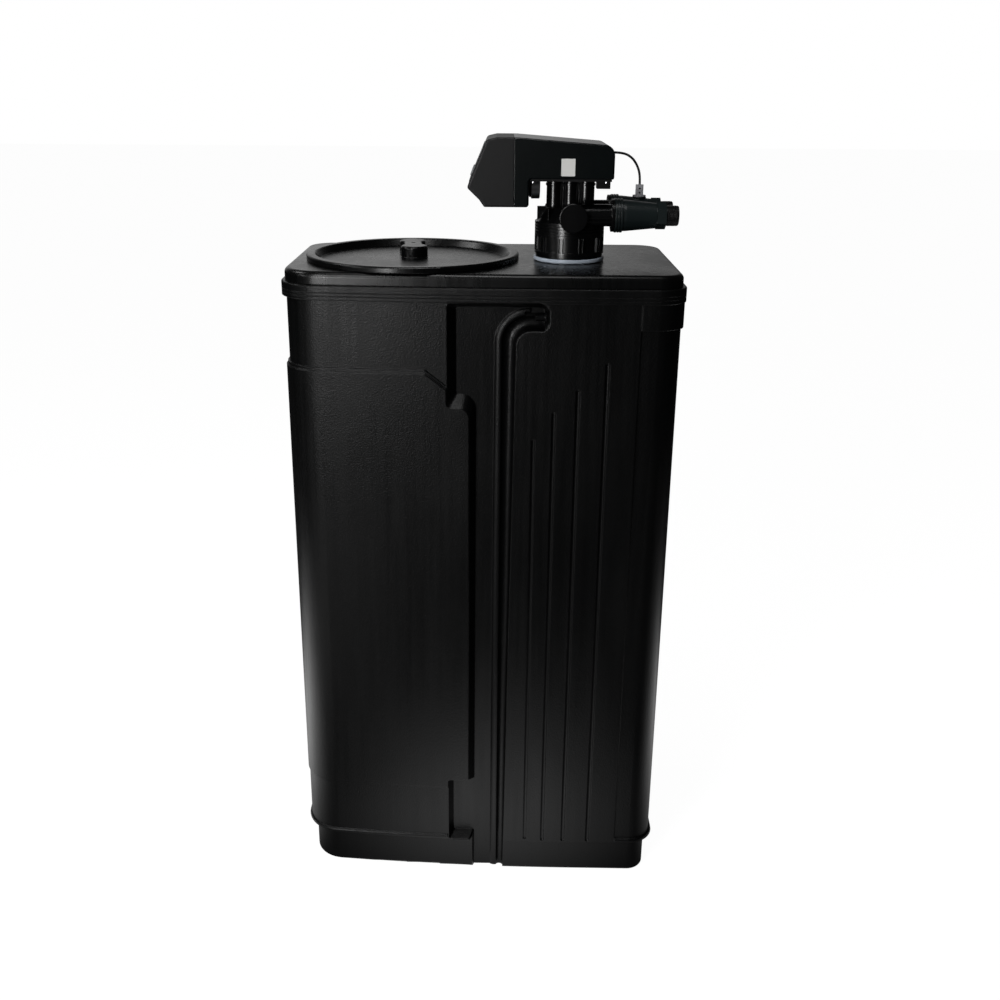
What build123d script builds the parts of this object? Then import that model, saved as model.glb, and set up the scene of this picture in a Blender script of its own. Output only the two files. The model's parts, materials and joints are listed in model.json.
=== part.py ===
from build123d import *
import os
from math import acos, cos, degrees, hypot, pi, radians, sin, tan

# Cabinet water softener. X runs to the right along the cabinet's front, Y from the front to the back,
# Z up. The origin is the centre of the cabinet's base, on the floor. All lengths are in millimetres.

os.makedirs("parts", exist_ok=True)

# Fits and cutting
overrun = 4.0  # how far a cut runs past the face that it opens
running_fit = 0.05  # radial play of a shaft in its bore
seat_gap = 0.2  # play between pieces that are seated in one another
lift_gap = 0.3  # play between a piece that lifts off and its seat

# Cabinet: plan of the rim, which every other level follows at its own inset
cabinet_width = 536.0
cabinet_depth = 312.0
front_bow = 22.0  # how far the front falls back at its left end
bow_straight = 138.0  # length of the straight part of the front, from its right end
front_left_radius = 58.0
front_right_radius = 38.0
back_radius = 44.0
tank_wall = 5.0

# Cabinet: levels, the upper ones as drops below the seam
seam_height = 901.0  # joint between the tank and its cover
rim_height = 19.0
rim_edge = 2.0
rim_groove = 0.8
rim_groove_drop = 9.4
rim_groove_step = 4.6
wall_inset = 3.5
skirt_inset = 12.0
skirt_height = 56.0
skirt_edge = 5.0
bead_inset = 0.5
bead_height = 8.0
bead_drop = 1.0

# Cabinet: raised left panel and the relief above it. Places along X of the front's features are counted
# from the valve's axis
pad_inset = 1.5
pad_low = 150.0
pad_drop = 114.0
pad_slope_start = -192.9
pad_slope_end = -164.9
pad_slope_drop = 21.0
pad_edge = 1.2
relief_inset = 6.0
relief_lift = 5.0

# Cabinet: right corner panel
corner_width = 60.0
corner_low = 64.0
corner_drop = 53.0
corner_depth = 1.3

# Cabinet: hose recess in the front
recess_depth = 20.0
recess_lead = 2.0
recess_left = -164.9
recess_drop = 19.0
finger_end = -30.9
finger_height = 36.0
finger_bend = 19.0
channel_right = -73.4
channel_foot_right = -82.9
panel_edge_right = -133.4
ledge_drop = 160.0
notch_top = 163.0
skirt_edge_left = -131.4
ledge_run = 16.0
left_wall_run = 13.0
top_wall_run = 8.0
end_wall_run = 5.0
right_wall_run = 20.0
channel_wall_run = 10.5
panel_wall_run = 8.0
skirt_wall_run = 6.0
corner_small = 3.0
corner_medium = 6.0
corner_large = 13.0
corner_foot = 20.0
groove_radius = 9.3
groove_foot_radius = 5.2
groove_setback = 15.5  # depth of the groove's centre line behind the wall
groove_lift = 9.1  # height of that line above the finger's lower edge
groove_left = -82.5
groove_foot = -86.6
groove_bend = 28.1
ridge_radius = 9.0
ridge_proud = 3.0
ridge_left = -94.4
ridge_start = -54.0
ridge_lift = 21.0  # height of the ridge's line above the finger's lower edge
ridge_bend = 40.0

# Cabinet: stiffening grooves of the right panel, from the left
rib_low = 61.0
rib_radius = 3.0
rib_proud = 0.9  # how far a groove's centre line stands before the wall
rib_gaps = (197.0, 170.3, 139.0, 101.5)  # from the cabinet's right end
rib_drops = (202.0, 166.0, 135.0, 99.0)

# Top cover
cover_height = 17.0
cover_inset = 5.0
cover_wall = 4.0
cover_edge = 7.0
lip_drop = 7.0
lip_wall = 3.0
lip_play = 0.4

# Salt lid
lid_y = -1.0
lid_left_gap = 23.1  # from the cabinet's left end
lid_right_gap = 68.8  # to the valve's axis
lid_edge_gap = 8.5  # to the cabinet's front and back
lid_rim_width = 11.5
lid_rim_height = 8.0
lid_rim_edge = 3.0
lid_dish = 9.5
lid_plate = 3.0
lid_plug_inset = 14.3
lid_plug_depth = 14.0
lid_plug_play = 0.8
lid_seat_wall = 3.5
lid_seat_drop = 12.0
grip_radius = 19.0
grip_waist = 26.0
grip_span = 56.0
grip_height = 15.0
grip_edge = 3.5
grip_neck = 9.0
grip_turn = 6.4  # degrees
grip_shift = 2.8  # of the grip to the left of the lid's middle
grip_back = 48.0  # of the grip behind the lid's middle
grip_dimple = 3.0
grip_dimple_depth = 1.2

# Resin vessel and what stands in it
valve_from_right = 149.1  # of the valve's axis, from the cabinet's right end
valve_y = -11.6
vessel_gap = 27.5  # to the cabinet's front and back, from its middle
vessel_side_gap = 20.6  # to the cabinet's right end
vessel_wall = 4.0
vessel_base = 12.0
vessel_low_dome = 78.0
vessel_top_dome = 95.0
neck_radius = 43.0
neck_bore = 35.0
neck_length = 28.0
neck_rise = 1.0  # how far the neck stands above the cover
neck_hole_play = 2.0
neck_ring_radius = 48.4
neck_ring_height = 5.0
foot_inset = 16.5
foot_wall = 24.0
foot_height = 40.0
riser_radius = 13.35
riser_wall = 2.3
riser_low = 62.0
riser_seat = 18.0
basket_radius = 26.0
basket_height = 44.0
basket_wall = 2.5
basket_cap = 6.0
basket_slot = 1.6
basket_slots = 12
basket_socket = 18.0
basket_lift = 2.0
top_basket_radius = 28.0
top_basket_height = 40.0

# Brine well and its safety float valve
well_from_left = 72.0
well_from_back = 76.0
well_radius = 50.0
well_wall = 3.5
well_drop = 51.0
well_slot = 5.0
well_slot_height = 60.0
well_slots = 8
well_cap_height = 3.0
well_cap_lap = 2.0
well_cap_plug = 12.0
float_offset = 27.0
float_radius = 17.0
float_height = 60.0
float_low = 380.0
float_edge = 6.0
rod_radius = 2.5
rod_head = 4.5
rod_head_height = 4.0
rod_tail = 50.0
brine_valve_radius = 12.0
brine_valve_drop = 131.0
brine_valve_height = 46.0
brine_arm_rise = 16.0  # above the float valve's underside
brine_arm_height = 14.0
brine_arm_width = 14.0
brine_barb_radius = 5.0
brine_barb_height = 18.0
pickup_radius = 6.5
pickup_wall = 1.5
pickup_seat = 10.0
cage_radius = 14.0
cage_height = 60.0
cage_wall = 2.0
cage_slots = 6
cage_slot = 3.0

# Overflow
overflow_depth = 13.2  # of its axis behind the wall
overflow_drop = 39.0
overflow_radius = 5.0
overflow_bore = 3.5
overflow_flange = 8.0
overflow_flange_height = 3.0
overflow_reach = 12.0
overflow_hose_run = 14.0  # straight way of the hose before the end of the spigot
overflow_seat_depth = 2.0
overflow_boss = 10.5
overflow_boss_length = 8.0
overflow_nut_width = 15.0
overflow_nut_height = 5.0

# Control valve. What ends in rise is a height above the vessel's neck, also in the groups below
base_flange_radius = 46.0
base_flange_height = 5.0
spigot_radius = 34.6
spigot_length = 32.0
seal_height = 2.4
collar_radius = 47.4
collar_ring = 44.4
collar_core = 40.0
collar_height = 26.0
collar_rim = 3.5
collar_ribs = 10
collar_rib = 1.8
collar_rib_pitch = 5.4
stack_height = 16.0
stack_groove = 1.2
stack_groove_depth = 1.6
cone_top_radius = 31.0
cone_height = 19.0
cone_low_radius = 44.6
gusset = 3.0
gusset_count = 8
cylinder_pitch = 21.5
cylinder_radius = 11.0
cylinder_rise = 108.0
cylinder_web = 9.0
cylinder_ring = 1.2
cylinder_ring_height = 3.0
piston_radius = 7.5
piston_floor_rise = 71.0
piston_rise = 79.0
piston_height = 11.0
piston_ring = 1.0
stem_radius = 3.0
stem_head_radius = 4.0
stem_head_height = 2.5
cam_gap = 0.4
piston_rings = 3
piston_names = ("piston_brine", "piston_service", "piston_drain")
spring_radius = 5.0
spring_wire = 0.5
spring_turns = 4

# Pipes of the control valve
pipe_rise = 62.5
pipe_spread = 30.0  # half the distance between inlet and outlet
pipe_radius = 14.5
pipe_bore = 9.5
pipe_end = 57.5  # from the valve's axis to the end of its pipe stubs
pipe_bore_length = 40.0
flange_radius = 21.5
flange_height = 4.0
coupling_radius = 22.4
coupling_length = 10.6
coupling_groove = 1.4
coupling_grooves = 2
coupling_bore = 15.0
body_radius = 20.5
body_small_radius = 16.5
body_straight = 4.0
body_length = 45.0
spanner_width = 31.0
spanner_length = 13.0
nozzle_radius = 13.2
nozzle_length = 17.0
nozzle_bore = 9.5
nozzle_root = 9.0
nozzle_root_radius = 11.5
nozzle_edge = 1.0

# Injector, drain and brine connections
injector_rise = 60.6
injector_shift = 2.0
injector_boss = 15.0
injector_reach = 48.0
injector_cap_radius = 19.2
injector_cap_height = 8.0
injector_cap_step = 17.6
injector_cap_back = 3.0
injector_cap_edge = 1.5
injector_seal = 11.0
injector_seal_wall = 3.0
injector_seal_height = 1.5
injector_plug = 6.0
drain_shift = -18.0
drain_boss = 12.0
drain_reach = 46.0
drain_nut_width = 28.0
drain_nut_height = 10.0
drain_barb = 6.5
drain_barb_length = 22.0
drain_bore = 4.5
drain_ring = 1.2
drain_rings = 3
brine_port_rise = 89.0
brine_port_boss = 7.0
brine_port_reach = 14.0
brine_port_nut_width = 16.0
brine_port_nut_height = 9.0
brine_port_tail = 4.8
brine_port_tail_length = 12.0

# Flow meter
meter_bore = 11.0
meter_bore_length = 41.0
turbine_radius = 10.2
turbine_hub = 3.4
turbine_length = 11.0
turbine_blades = 6
turbine_blade = 1.0
turbine_twist = 40.0  # degrees
spindle_radius = 1.5
spindle_length = 24.0
spider_height = 2.0
spider_arm = 1.6
spider_rim = 1.2
spider_arms = 3
probe_reach = 96.9  # from the valve's axis to the probe
probe_boss = 9.6
probe_boss_top = 19.0
probe_bore = 4.0
probe_disc = 9.0
probe_disc_height = 2.2
probe_stem_length = 6.0
tab_width = 10.5
tab_depth = 5.5
tab_height = 14.0
tab_edge = 1.5

# Sensor lead, from the controller's end wall to the probe
lead_radius = 1.6
lead_exit_rise = 140.2
grommet_radius = 4.4
grommet_length = 3.5
grommet_neck = 3.0

# Controller
box_half = 60.0
shell_wall = 2.5
box_low_rise = 75.0
box_top_rise = 163.0
box_split = -77.9  # places along X from here on are counted from the valve's axis
sole_start = -116.7
chin_x = -123.3
chin_rise = 84.3
nose_x = -139.4
nose_rise = 99.5
brow_x = -113.9
brow_rise = 160.0
crown_x = -101.0
cover_low_rise = 111.0
leg_end = -57.9
cover_end = 53.1
cover_end_rise = 153.5
cover_kink = -72.9
box_edge = 2.5
sole_round = 3.0
nose_round = 4.0
chin_round = 8.0
brow_round = 6.0
end_round = 14.0
foot_round = 4.0

# Control panel, on the slanted face of the panel housing
panel_width = 104.0
panel_height = 50.0
panel_sink = 1.3
panel_proud = 0.8
panel_corner = 4.0
panel_opening_width = 92.0
panel_opening_height = 40.0
window_width = 52.0
window_height = 20.0
window_thick = 1.0
window_rise = 10.0
window_border = 3.0
window_corner = 2.0
button_radius = 5.0
button_play = 0.3
button_pitch = 20.0
button_drop = 13.0
button_count = 4
button_proud = 1.6
button_length = 8.4
button_flange = 6.4
button_flange_height = 1.2
button_edge = 0.8
button_names = ("button_menu", "button_down", "button_up", "button_set")
board_width = 112.0
board_height = 48.0
board_thick = 1.6
board_depth = 9.6
board_rise = 1.0
post_radius = 2.5
post_spread = 51.5
post_height = 17.0
display_width = 48.0
display_height = 17.0
display_thick = 6.0
switch_radius = 2.5
switch_height = 1.2

# Drive of the camshaft
cam_axis_rise = 133.0
motor_axis_rise = 103.0
gear_module = 1.2
gear_teeth = 35
pinion_teeth = 15
gear_low = -68.9
gear_width = 6.5
gear_backlash = 0.16
gear_web = 2.5
dedendum_share = 1.25
pressure_angle = 20.0  # degrees
cam_radius = 15.0
cam_notch = 5.0
cam_notch_half = 30.0  # degrees
cam_floor_half = 22.0  # degrees
cam_width = 8.0
camshaft_radius = 4.0
camshaft_low = -70.4
camshaft_high = 46.1
bracket_low = -56.3
bracket_wall = 2.6
bracket_half = 12.0
bracket_foot_rise = 84.0
bearing_top = 8.0  # height of a bearing plate above its bore's centre
bearing_mouth = 7.0
bearing_post_low = 41.1
bearing_post_wall = 3.5
bearing_post_half = 9.0
base_plate = 4.0
base_lift = 3.0  # the base plate's underside lies this far below the cover's edge
motor_radius = 22.0
motor_low = -53.5
motor_length = 11.6
motor_shaft = 1.5
motor_slot_play = 1.0
motor_boss = 4.0
motor_edge = 1.5
motor_window = 1.0
inlet_block_low = 35.0
inlet_block_length = 18.0
inlet_block_half = 10.0
inlet_block_drop = 13.0
inlet_socket = 3.2
inlet_socket_depth = 9.0
screw_boss = 4.0
screw_head = 3.4
screw_head_height = 2.2
screw_shank = 1.6
screw_length = 10.0
screw_spread_x = 96.0
screw_spread_y = 100.0
screw_middle = -4.0

# Worked out from the values above
bow_start = cabinet_width / 2 - bow_straight
corner_left = cabinet_width / 2 - corner_width
valve_x = cabinet_width / 2 - valve_from_right
pad_top = seam_height - pad_drop
corner_top = seam_height - corner_drop
recess_top = seam_height - recess_drop
finger_low = recess_top - finger_height
ledge_height = seam_height - ledge_drop
groove_top = finger_low + groove_lift
ridge_top = finger_low + ridge_lift
overflow_z = seam_height - overflow_drop
lid_room_left = lid_left_gap - cabinet_width / 2
lid_room_right = valve_x - lid_right_gap
lid_x = (lid_room_left + lid_room_right) / 2
lid_radius = min(lid_room_right - lid_room_left, cabinet_depth - 2 * lid_edge_gap) / 2
lid_plug_radius = lid_radius - lid_plug_inset
grip_x = lid_x - grip_shift
grip_y = lid_y + grip_back
vessel_radius = min(cabinet_depth / 2 - vessel_gap, valve_from_right - vessel_side_gap)
foot_radius = vessel_radius - foot_inset
foot_inner = foot_radius - foot_wall
well_x = well_from_left - cabinet_width / 2
well_y = cabinet_depth / 2 - well_from_back
well_height = seam_height - well_drop - tank_wall
brine_valve_low = seam_height - brine_valve_drop
brine_arm_low = brine_valve_low + brine_arm_rise
cover_top = seam_height + cover_height
neck_top = cover_top + neck_rise
cylinder_top = neck_top + cylinder_rise
piston_floor = neck_top + piston_floor_rise
piston_low = neck_top + piston_rise
pipe_z = neck_top + pipe_rise
injector_z = neck_top + injector_rise
brine_port_z = neck_top + brine_port_rise
lead_exit_z = neck_top + lead_exit_rise
box_low = neck_top + box_low_rise
box_top = neck_top + box_top_rise
chin_z = neck_top + chin_rise
nose_z = neck_top + nose_rise
brow_z = neck_top + brow_rise
cover_low = neck_top + cover_low_rise
cover_end_z = neck_top + cover_end_rise
cam_axis_z = neck_top + cam_axis_rise
motor_axis_z = neck_top + motor_axis_rise
bracket_foot = neck_top + bracket_foot_rise
valve_base = neck_top + neck_ring_height
collar_low = valve_base + base_flange_height
collar_top = collar_low + collar_height
stack_low = collar_top + seat_gap
stack_top = stack_low + stack_height
cone_top = stack_top + cone_height
front_face = cabinet_depth / 2 - wall_inset
inlet_y = valve_y - pipe_spread
outlet_y = valve_y + pipe_spread
cylinder_places = [valve_x + step * cylinder_pitch for step in (-1, 0, 1)]
vessel_axis = Axis((valve_x, valve_y, 0), (0, 0, 1))


def cabinet_outline(inset):
    """Plan of the cabinet, moved in from the rim's outline by the inset."""
    half_width = cabinet_width / 2
    half_depth = cabinet_depth / 2
    with BuildSketch() as outline:
        with BuildLine():
            walls = Polyline(
                (-half_width, -half_depth + front_bow),
                (-half_width, half_depth),
                (half_width, half_depth),
                (half_width, -half_depth),
                (bow_start, -half_depth),
            )
            TangentArc(walls @ 1, walls @ 0, tangent=(-1, 0))
        make_face()
        fillet(outline.vertices().group_by(Axis.Y)[-1], back_radius)
        fillet(outline.vertices().group_by(Axis.Y)[0].sort_by(Axis.X)[-1], front_right_radius)
        fillet(outline.vertices().group_by(Axis.X)[0].sort_by(Axis.Y)[0], front_left_radius)
        if inset:
            offset(amount=-inset)
    return outline.sketch


def level(low, height, inset):
    """Slice of the cabinet between two heights, at one inset."""
    with BuildPart() as slice_:
        with BuildSketch(Plane.XY.offset(low)):
            add(cabinet_outline(inset))
        extrude(amount=height)
    return slice_.part


def band(low, height, inset):
    """What lies outside an inset between two heights, as a cutter."""
    with BuildPart() as ring:
        with BuildSketch(Plane.XY.offset(low)):
            add(cabinet_outline(-overrun))
            add(cabinet_outline(inset), mode=Mode.SUBTRACT)
        extrude(amount=height)
    return ring.part


def front_prism(points, radii=0.0):
    """Prism along Y through the whole cabinet, over an outline of the front."""
    with BuildPart() as prism:
        with BuildSketch(Plane.XZ):
            with BuildLine():
                FilletPolyline(*points, radius=radii, close=True)
            make_face()
        extrude(amount=cabinet_depth, both=True)
    return prism.part


def moved_in(points, runs):
    """Clockwise closed outline whose edges have each moved in by their own run."""
    count = len(points)
    lines = []
    for i, (start, run) in enumerate(zip(points, runs)):
        end = points[(i + 1) % count]
        along = (end[0] - start[0], end[1] - start[1])
        length = hypot(*along)
        inward = (along[1] / length, -along[0] / length)
        lines.append(((start[0] + run * inward[0], start[1] + run * inward[1]), along))
    corners = []
    for i in range(count):
        (px, pz), (ux, uz) = lines[i - 1]
        (qx, qz), (vx, vz) = lines[i]
        t = ((qx - px) * vz - (qz - pz) * vx) / (ux * vz - uz * vx)
        corners.append((px + t * ux, pz + t * uz))
    return corners


def tube_x(start, length, radius, y, z):
    """Round bar along X."""
    with BuildPart() as bar:
        with BuildSketch(Plane((start, y, z), x_dir=(0, 1, 0), z_dir=(1, 0, 0))):
            Circle(radius)
        extrude(amount=length)
    return bar.part


def tube_y(start, length, radius, x, z):
    """Round bar along Y."""
    with BuildPart() as bar:
        with BuildSketch(Plane((x, start, z), x_dir=(1, 0, 0), z_dir=(0, 1, 0))):
            Circle(radius)
        extrude(amount=length)
    return bar.part


def tube_z(start, length, radius, x, y):
    """Round bar along Z."""
    with BuildPart() as bar:
        with BuildSketch(Plane((x, y, start))):
            Circle(radius)
        extrude(amount=length)
    return bar.part


def hex_x(start, length, width, y, z):
    """Hexagonal bar along X, with one pair of flats facing front and back."""
    with BuildPart() as bar:
        with BuildSketch(Plane((start, y, z), x_dir=(0, 1, 0), z_dir=(1, 0, 0))):
            RegularPolygon(width / 2, 6, major_radius=False, rotation=30)
        extrude(amount=length)
    return bar.part


def turned_z(points, x, y):
    """Solid turned about an upright axis, from (radius, height) points."""
    with BuildPart() as turned:
        with BuildSketch(Plane((x, y, 0), x_dir=(1, 0, 0), z_dir=(0, -1, 0))):
            with BuildLine():
                Polyline(*points, close=True)
            make_face()
        revolve(axis=Axis((x, y, 0), (0, 0, 1)))
    return turned.part


def turned_x(points, y, z):
    """Solid turned about an axis along X, from (place, radius) points."""
    with BuildPart() as turned:
        with BuildSketch(Plane((0, y, z), x_dir=(1, 0, 0), z_dir=(0, -1, 0))):
            with BuildLine():
                Polyline(*points, close=True)
            make_face()
        revolve(axis=Axis((0, y, z), (1, 0, 0)))
    return turned.part


# Hose recess of the cabinet: its outline on the front, clockwise from the top left, the run of the wall
# below each edge, and the corner radii at the front and at the foot of the walls
recess_edge = [
    (recess_left, recess_top),
    (finger_end, recess_top),
    (finger_end, finger_low),
    (channel_right, finger_low),
    (channel_foot_right, -overrun),
    (skirt_edge_left, -overrun),
    (skirt_edge_left, skirt_height),
    (recess_left, skirt_height),
    (recess_left, notch_top),
    (panel_edge_right, notch_top),
    (panel_edge_right, ledge_height),
    (recess_left, ledge_height),
]
recess_runs = [
    top_wall_run,
    end_wall_run,
    right_wall_run,
    channel_wall_run,
    0.0,
    skirt_wall_run,
    panel_wall_run,
    panel_wall_run,
    panel_wall_run,
    panel_wall_run,
    ledge_run,
    left_wall_run,
]
recess_corners = [
    corner_medium,
    corner_large,
    corner_large,
    finger_bend,
    0.0,
    0.0,
    corner_small,
    corner_small,
    corner_small,
    corner_small,
    corner_large,
    corner_medium,
]
foot_corners = [
    corner_small,
    corner_small,
    corner_small,
    finger_bend + right_wall_run,
    0.0,
    0.0,
    corner_small,
    corner_small,
    corner_small,
    corner_small,
    corner_foot,
    corner_small,
]


def from_valve(points):
    """Points of the front, whose places along X are counted from the valve's axis."""
    return [(valve_x + x, z) for x, z in points]


def front_outline(points, radii, depth):
    """Closed outline on an upright plane at a depth behind the front face."""
    with BuildSketch(Plane.XZ.offset(front_face - depth)) as outline:
        with BuildLine():
            FilletPolyline(*from_valve(points), radius=radii, close=True)
        make_face()
    return outline.sketch


def recess_form(grown):
    """The recess, grown all round by a wall: walls in one ruled loft, and the hose groove swept in."""
    edge = moved_in(recess_edge, [-grown] * len(recess_edge))
    lead = moved_in(recess_edge, [-grown - recess_lead] * len(recess_edge))
    foot = moved_in(recess_edge, [run - grown for run in recess_runs])
    mouth = front_outline(lead, recess_corners, 0.0)
    throat = front_outline(edge, recess_corners, recess_lead)
    floor = front_outline(foot, foot_corners, recess_depth + grown)
    with BuildPart() as form:
        extrude(mouth, amount=overrun)
        loft([mouth, throat], ruled=True)
        loft([throat, floor], ruled=True)
    return form.part


def groove_section(plane, radius):
    """Section of the groove on a plane whose X points into the cabinet: round behind, open to the front."""
    front = groove_setback + overrun
    with BuildSketch(plane) as section:
        Circle(radius)
        with Locations((-front / 2, 0)):
            Rectangle(front, 2 * radius)
    return section.sketch


def groove_form(grown):
    """The hose groove: along the finger, round its bend and, getting narrower, down to the floor."""
    y = groove_setback - front_face
    start = valve_x + finger_end - end_wall_run + grown
    bend_low = groove_top - groove_bend
    bend_start = (valve_x + groove_left + groove_bend, y, groove_top)
    bend_end = (valve_x + groove_left, y, bend_low)
    across = Plane((start, y, groove_top), x_dir=(0, 1, 0), z_dir=(-1, 0, 0))
    above = Plane((valve_x + groove_left, y, bend_low), x_dir=(0, 1, 0), z_dir=(0, 0, 1))
    below = Plane((valve_x + groove_foot, y, -overrun), x_dir=(0, 1, 0), z_dir=(0, 0, 1))
    with BuildPart() as form:
        with BuildLine() as path:
            run = Line((start, y, groove_top), bend_start)
            TangentArc(bend_start, bend_end, tangent=run % 1)
        sweep(groove_section(across, groove_radius + grown), path=path.line)
        loft(
            [
                groove_section(below, groove_foot_radius + grown),
                groove_section(above, groove_radius + grown),
            ],
            ruled=True,
        )
    return form.part


def ridge_form():
    """The round ridge on the recess's floor, along the groove's left side."""
    y = recess_depth + ridge_radius - ridge_proud - front_face
    route = [
        (valve_x + ridge_start, y, ridge_top),
        (valve_x + ridge_left, y, ridge_top),
        (valve_x + ridge_left, y, 0),
    ]
    with BuildPart() as form:
        with BuildLine() as path:
            FilletPolyline(*route, radius=ridge_bend)
        with BuildSketch(Plane(path.line @ 0, z_dir=path.line % 0)):
            Circle(ridge_radius)
        sweep()
        add(recess_form(0.0), mode=Mode.INTERSECT)
    return form.part


# Cabinet tank: bin with a set-in skirt, a rim band, a raised left panel and the hose recess
far = cabinet_width
rim_low = seam_height - rim_height
bead_middle = skirt_height + bead_drop + bead_height / 2
relief_points = [
    (-far, pad_top + relief_lift),
    (pad_slope_start, pad_top + relief_lift),
    (pad_slope_end, pad_top + relief_lift - pad_slope_drop),
    (pad_slope_end, rim_low),
    (-far, rim_low),
]
pad_points = [
    (-far, pad_low),
    (-far, pad_top),
    (pad_slope_start, pad_top),
    (pad_slope_end, pad_top - pad_slope_drop),
    (panel_edge_right + overrun, pad_top - pad_slope_drop),
    (panel_edge_right + overrun, pad_low),
]


def swollen(points, amount):
    """The raised panel's outline, larger by an amount above, below and to the right."""
    low_z = points[0][1]
    return [(x + (amount if x > -far else 0.0), z + (-amount if z == low_z else amount)) for x, z in points]


def raised(points, inset):
    """Raised panel of the cabinet over an outline of its front, down to the wall."""
    with BuildPart() as panel:
        add(level(skirt_height, rim_low - skirt_height, inset))
        add(front_prism(from_valve(points)), mode=Mode.INTERSECT)
    return panel.part


def relief_cut():
    """What the relief above the raised panel takes away."""
    with BuildPart() as relief:
        add(band(pad_low, rim_low - pad_low, relief_inset))
        add(front_prism(from_valve(relief_points)), mode=Mode.INTERSECT)
    return relief.part


def corner_cut():
    """What the sunk panel of the right corner takes away."""
    with BuildPart() as corner:
        add(band(corner_low, corner_top - corner_low, wall_inset + corner_depth))
        with BuildSketch(Plane.XY.offset(corner_low)):
            with Locations((corner_left - far / 2, 0)):
                Rectangle(far, far)
        extrude(amount=corner_top, mode=Mode.SUBTRACT)
    return corner.part


def base_bead():
    """Half-round bead round the foot of the wall, left out along the right part of the front."""
    line = cabinet_outline(bead_inset + bead_height / 2).face().outer_wire()
    line = line.moved(Location((0, 0, bead_middle)))
    gap_left = valve_x + recess_left
    with BuildPart() as bead:
        with BuildSketch(Plane(line @ 0, z_dir=line % 0)):
            Circle(bead_height / 2)
        sweep(path=line)
        with BuildSketch(Plane.XZ):
            with Locations(((gap_left + corner_left) / 2, bead_middle)):
                Rectangle(corner_left - gap_left, 2 * bead_height)
        extrude(amount=cabinet_depth, mode=Mode.SUBTRACT)
    return bead.part


overflow_y = overflow_depth - front_face
overflow_seat = valve_x + finger_end - overflow_seat_depth
overflow_way = overflow_flange_height + overflow_reach + overflow_hose_run
with BuildPart() as cabinet_room:
    low_step = skirt_height + tank_wall
    add(level(tank_wall, low_step - tank_wall, skirt_inset + tank_wall))
    add(level(low_step, seam_height + overrun - low_step, wall_inset + tank_wall))
    add(recess_form(tank_wall), mode=Mode.SUBTRACT)
    add(groove_form(tank_wall), mode=Mode.SUBTRACT)
    add(
        tube_x(overflow_seat, overflow_boss_length, overflow_boss, overflow_y, overflow_z),
        mode=Mode.SUBTRACT,
    )

with BuildPart() as cabinet_tank:
    add(level(0, skirt_height, skirt_inset))
    fillet(cabinet_tank.edges().group_by(Axis.Z)[0], skirt_edge)
    add(level(skirt_height, rim_low - skirt_height, wall_inset))
    add(level(rim_low, rim_height, 0))
    fillet(cabinet_tank.edges().group_by(Axis.Z)[-1], rim_edge)
    add(raised(swollen(pad_points, pad_edge), (pad_inset + wall_inset) / 2))
    add(raised(pad_points, pad_inset))
    with BuildSketch(Plane.XY.offset(corner_top)):
        add(cabinet_outline(pad_inset))
        with Locations((corner_left - far / 2, 0)):
            Rectangle(far, far, mode=Mode.SUBTRACT)
    extrude(amount=rim_low - corner_top)
    add(relief_cut(), mode=Mode.SUBTRACT)
    add(corner_cut(), mode=Mode.SUBTRACT)
    add(base_bead())
    for drop in (rim_groove_drop, rim_groove_drop + rim_groove_step):
        add(band(seam_height - drop - rim_groove, rim_groove, rim_groove), mode=Mode.SUBTRACT)
    for gap, drop in zip(rib_gaps, rib_drops):
        place = cabinet_width / 2 - gap
        top = seam_height - drop
        rib_y = -front_face - rib_proud
        add(tube_z(rib_low, top - rib_low, rib_radius, place, rib_y), mode=Mode.SUBTRACT)
        with Locations((place, rib_y, rib_low), (place, rib_y, top)):
            Sphere(rib_radius, mode=Mode.SUBTRACT)
    add(cabinet_room.part, mode=Mode.SUBTRACT)
    add(recess_form(0.0), mode=Mode.SUBTRACT)
    add(ridge_form())
    add(groove_form(0.0), mode=Mode.SUBTRACT)
    pocket = overflow_flange + seat_gap
    bore = overflow_radius + seat_gap
    bore_length = overflow_boss_length + overrun
    add(tube_x(overflow_seat - overflow_way, overflow_way, pocket, overflow_y, overflow_z), mode=Mode.SUBTRACT)
    add(tube_x(overflow_seat, bore_length, bore, overflow_y, overflow_z), mode=Mode.SUBTRACT)
cabinet_tank.part.label = "cabinet_tank"
export_step(cabinet_tank.part, "parts/cabinet_tank.step")

# Top cover
with BuildPart() as top_cover:
    add(level(seam_height, cover_height, cover_inset))
    fillet(top_cover.edges().group_by(Axis.Z)[-1], cover_edge)
    add(
        level(seam_height - overrun, cover_height - cover_wall + overrun, cover_inset + cover_wall),
        mode=Mode.SUBTRACT,
    )
    lip_inset = wall_inset + tank_wall + lip_play
    with BuildSketch(Plane.XY.offset(seam_height - lip_drop)):
        add(cabinet_outline(lip_inset))
        add(cabinet_outline(lip_inset + lip_wall), mode=Mode.SUBTRACT)
    extrude(amount=lip_drop + cover_height - cover_wall)
    opening_radius = lid_plug_radius + lid_plug_play
    add(
        tube_z(cover_top - cover_wall, -lid_seat_drop, opening_radius + lid_seat_wall, lid_x, lid_y),
    )
    add(
        tube_z(seam_height - lid_seat_drop, cover_height + lid_seat_drop + overrun, opening_radius, lid_x, lid_y),
        mode=Mode.SUBTRACT,
    )
    add(
        tube_z(seam_height, cover_height + overrun, neck_radius + neck_hole_play, valve_x, valve_y),
        mode=Mode.SUBTRACT,
    )
top_cover.part.label = "top_cover"
export_step(top_cover.part, "parts/top_cover.step")

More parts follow.
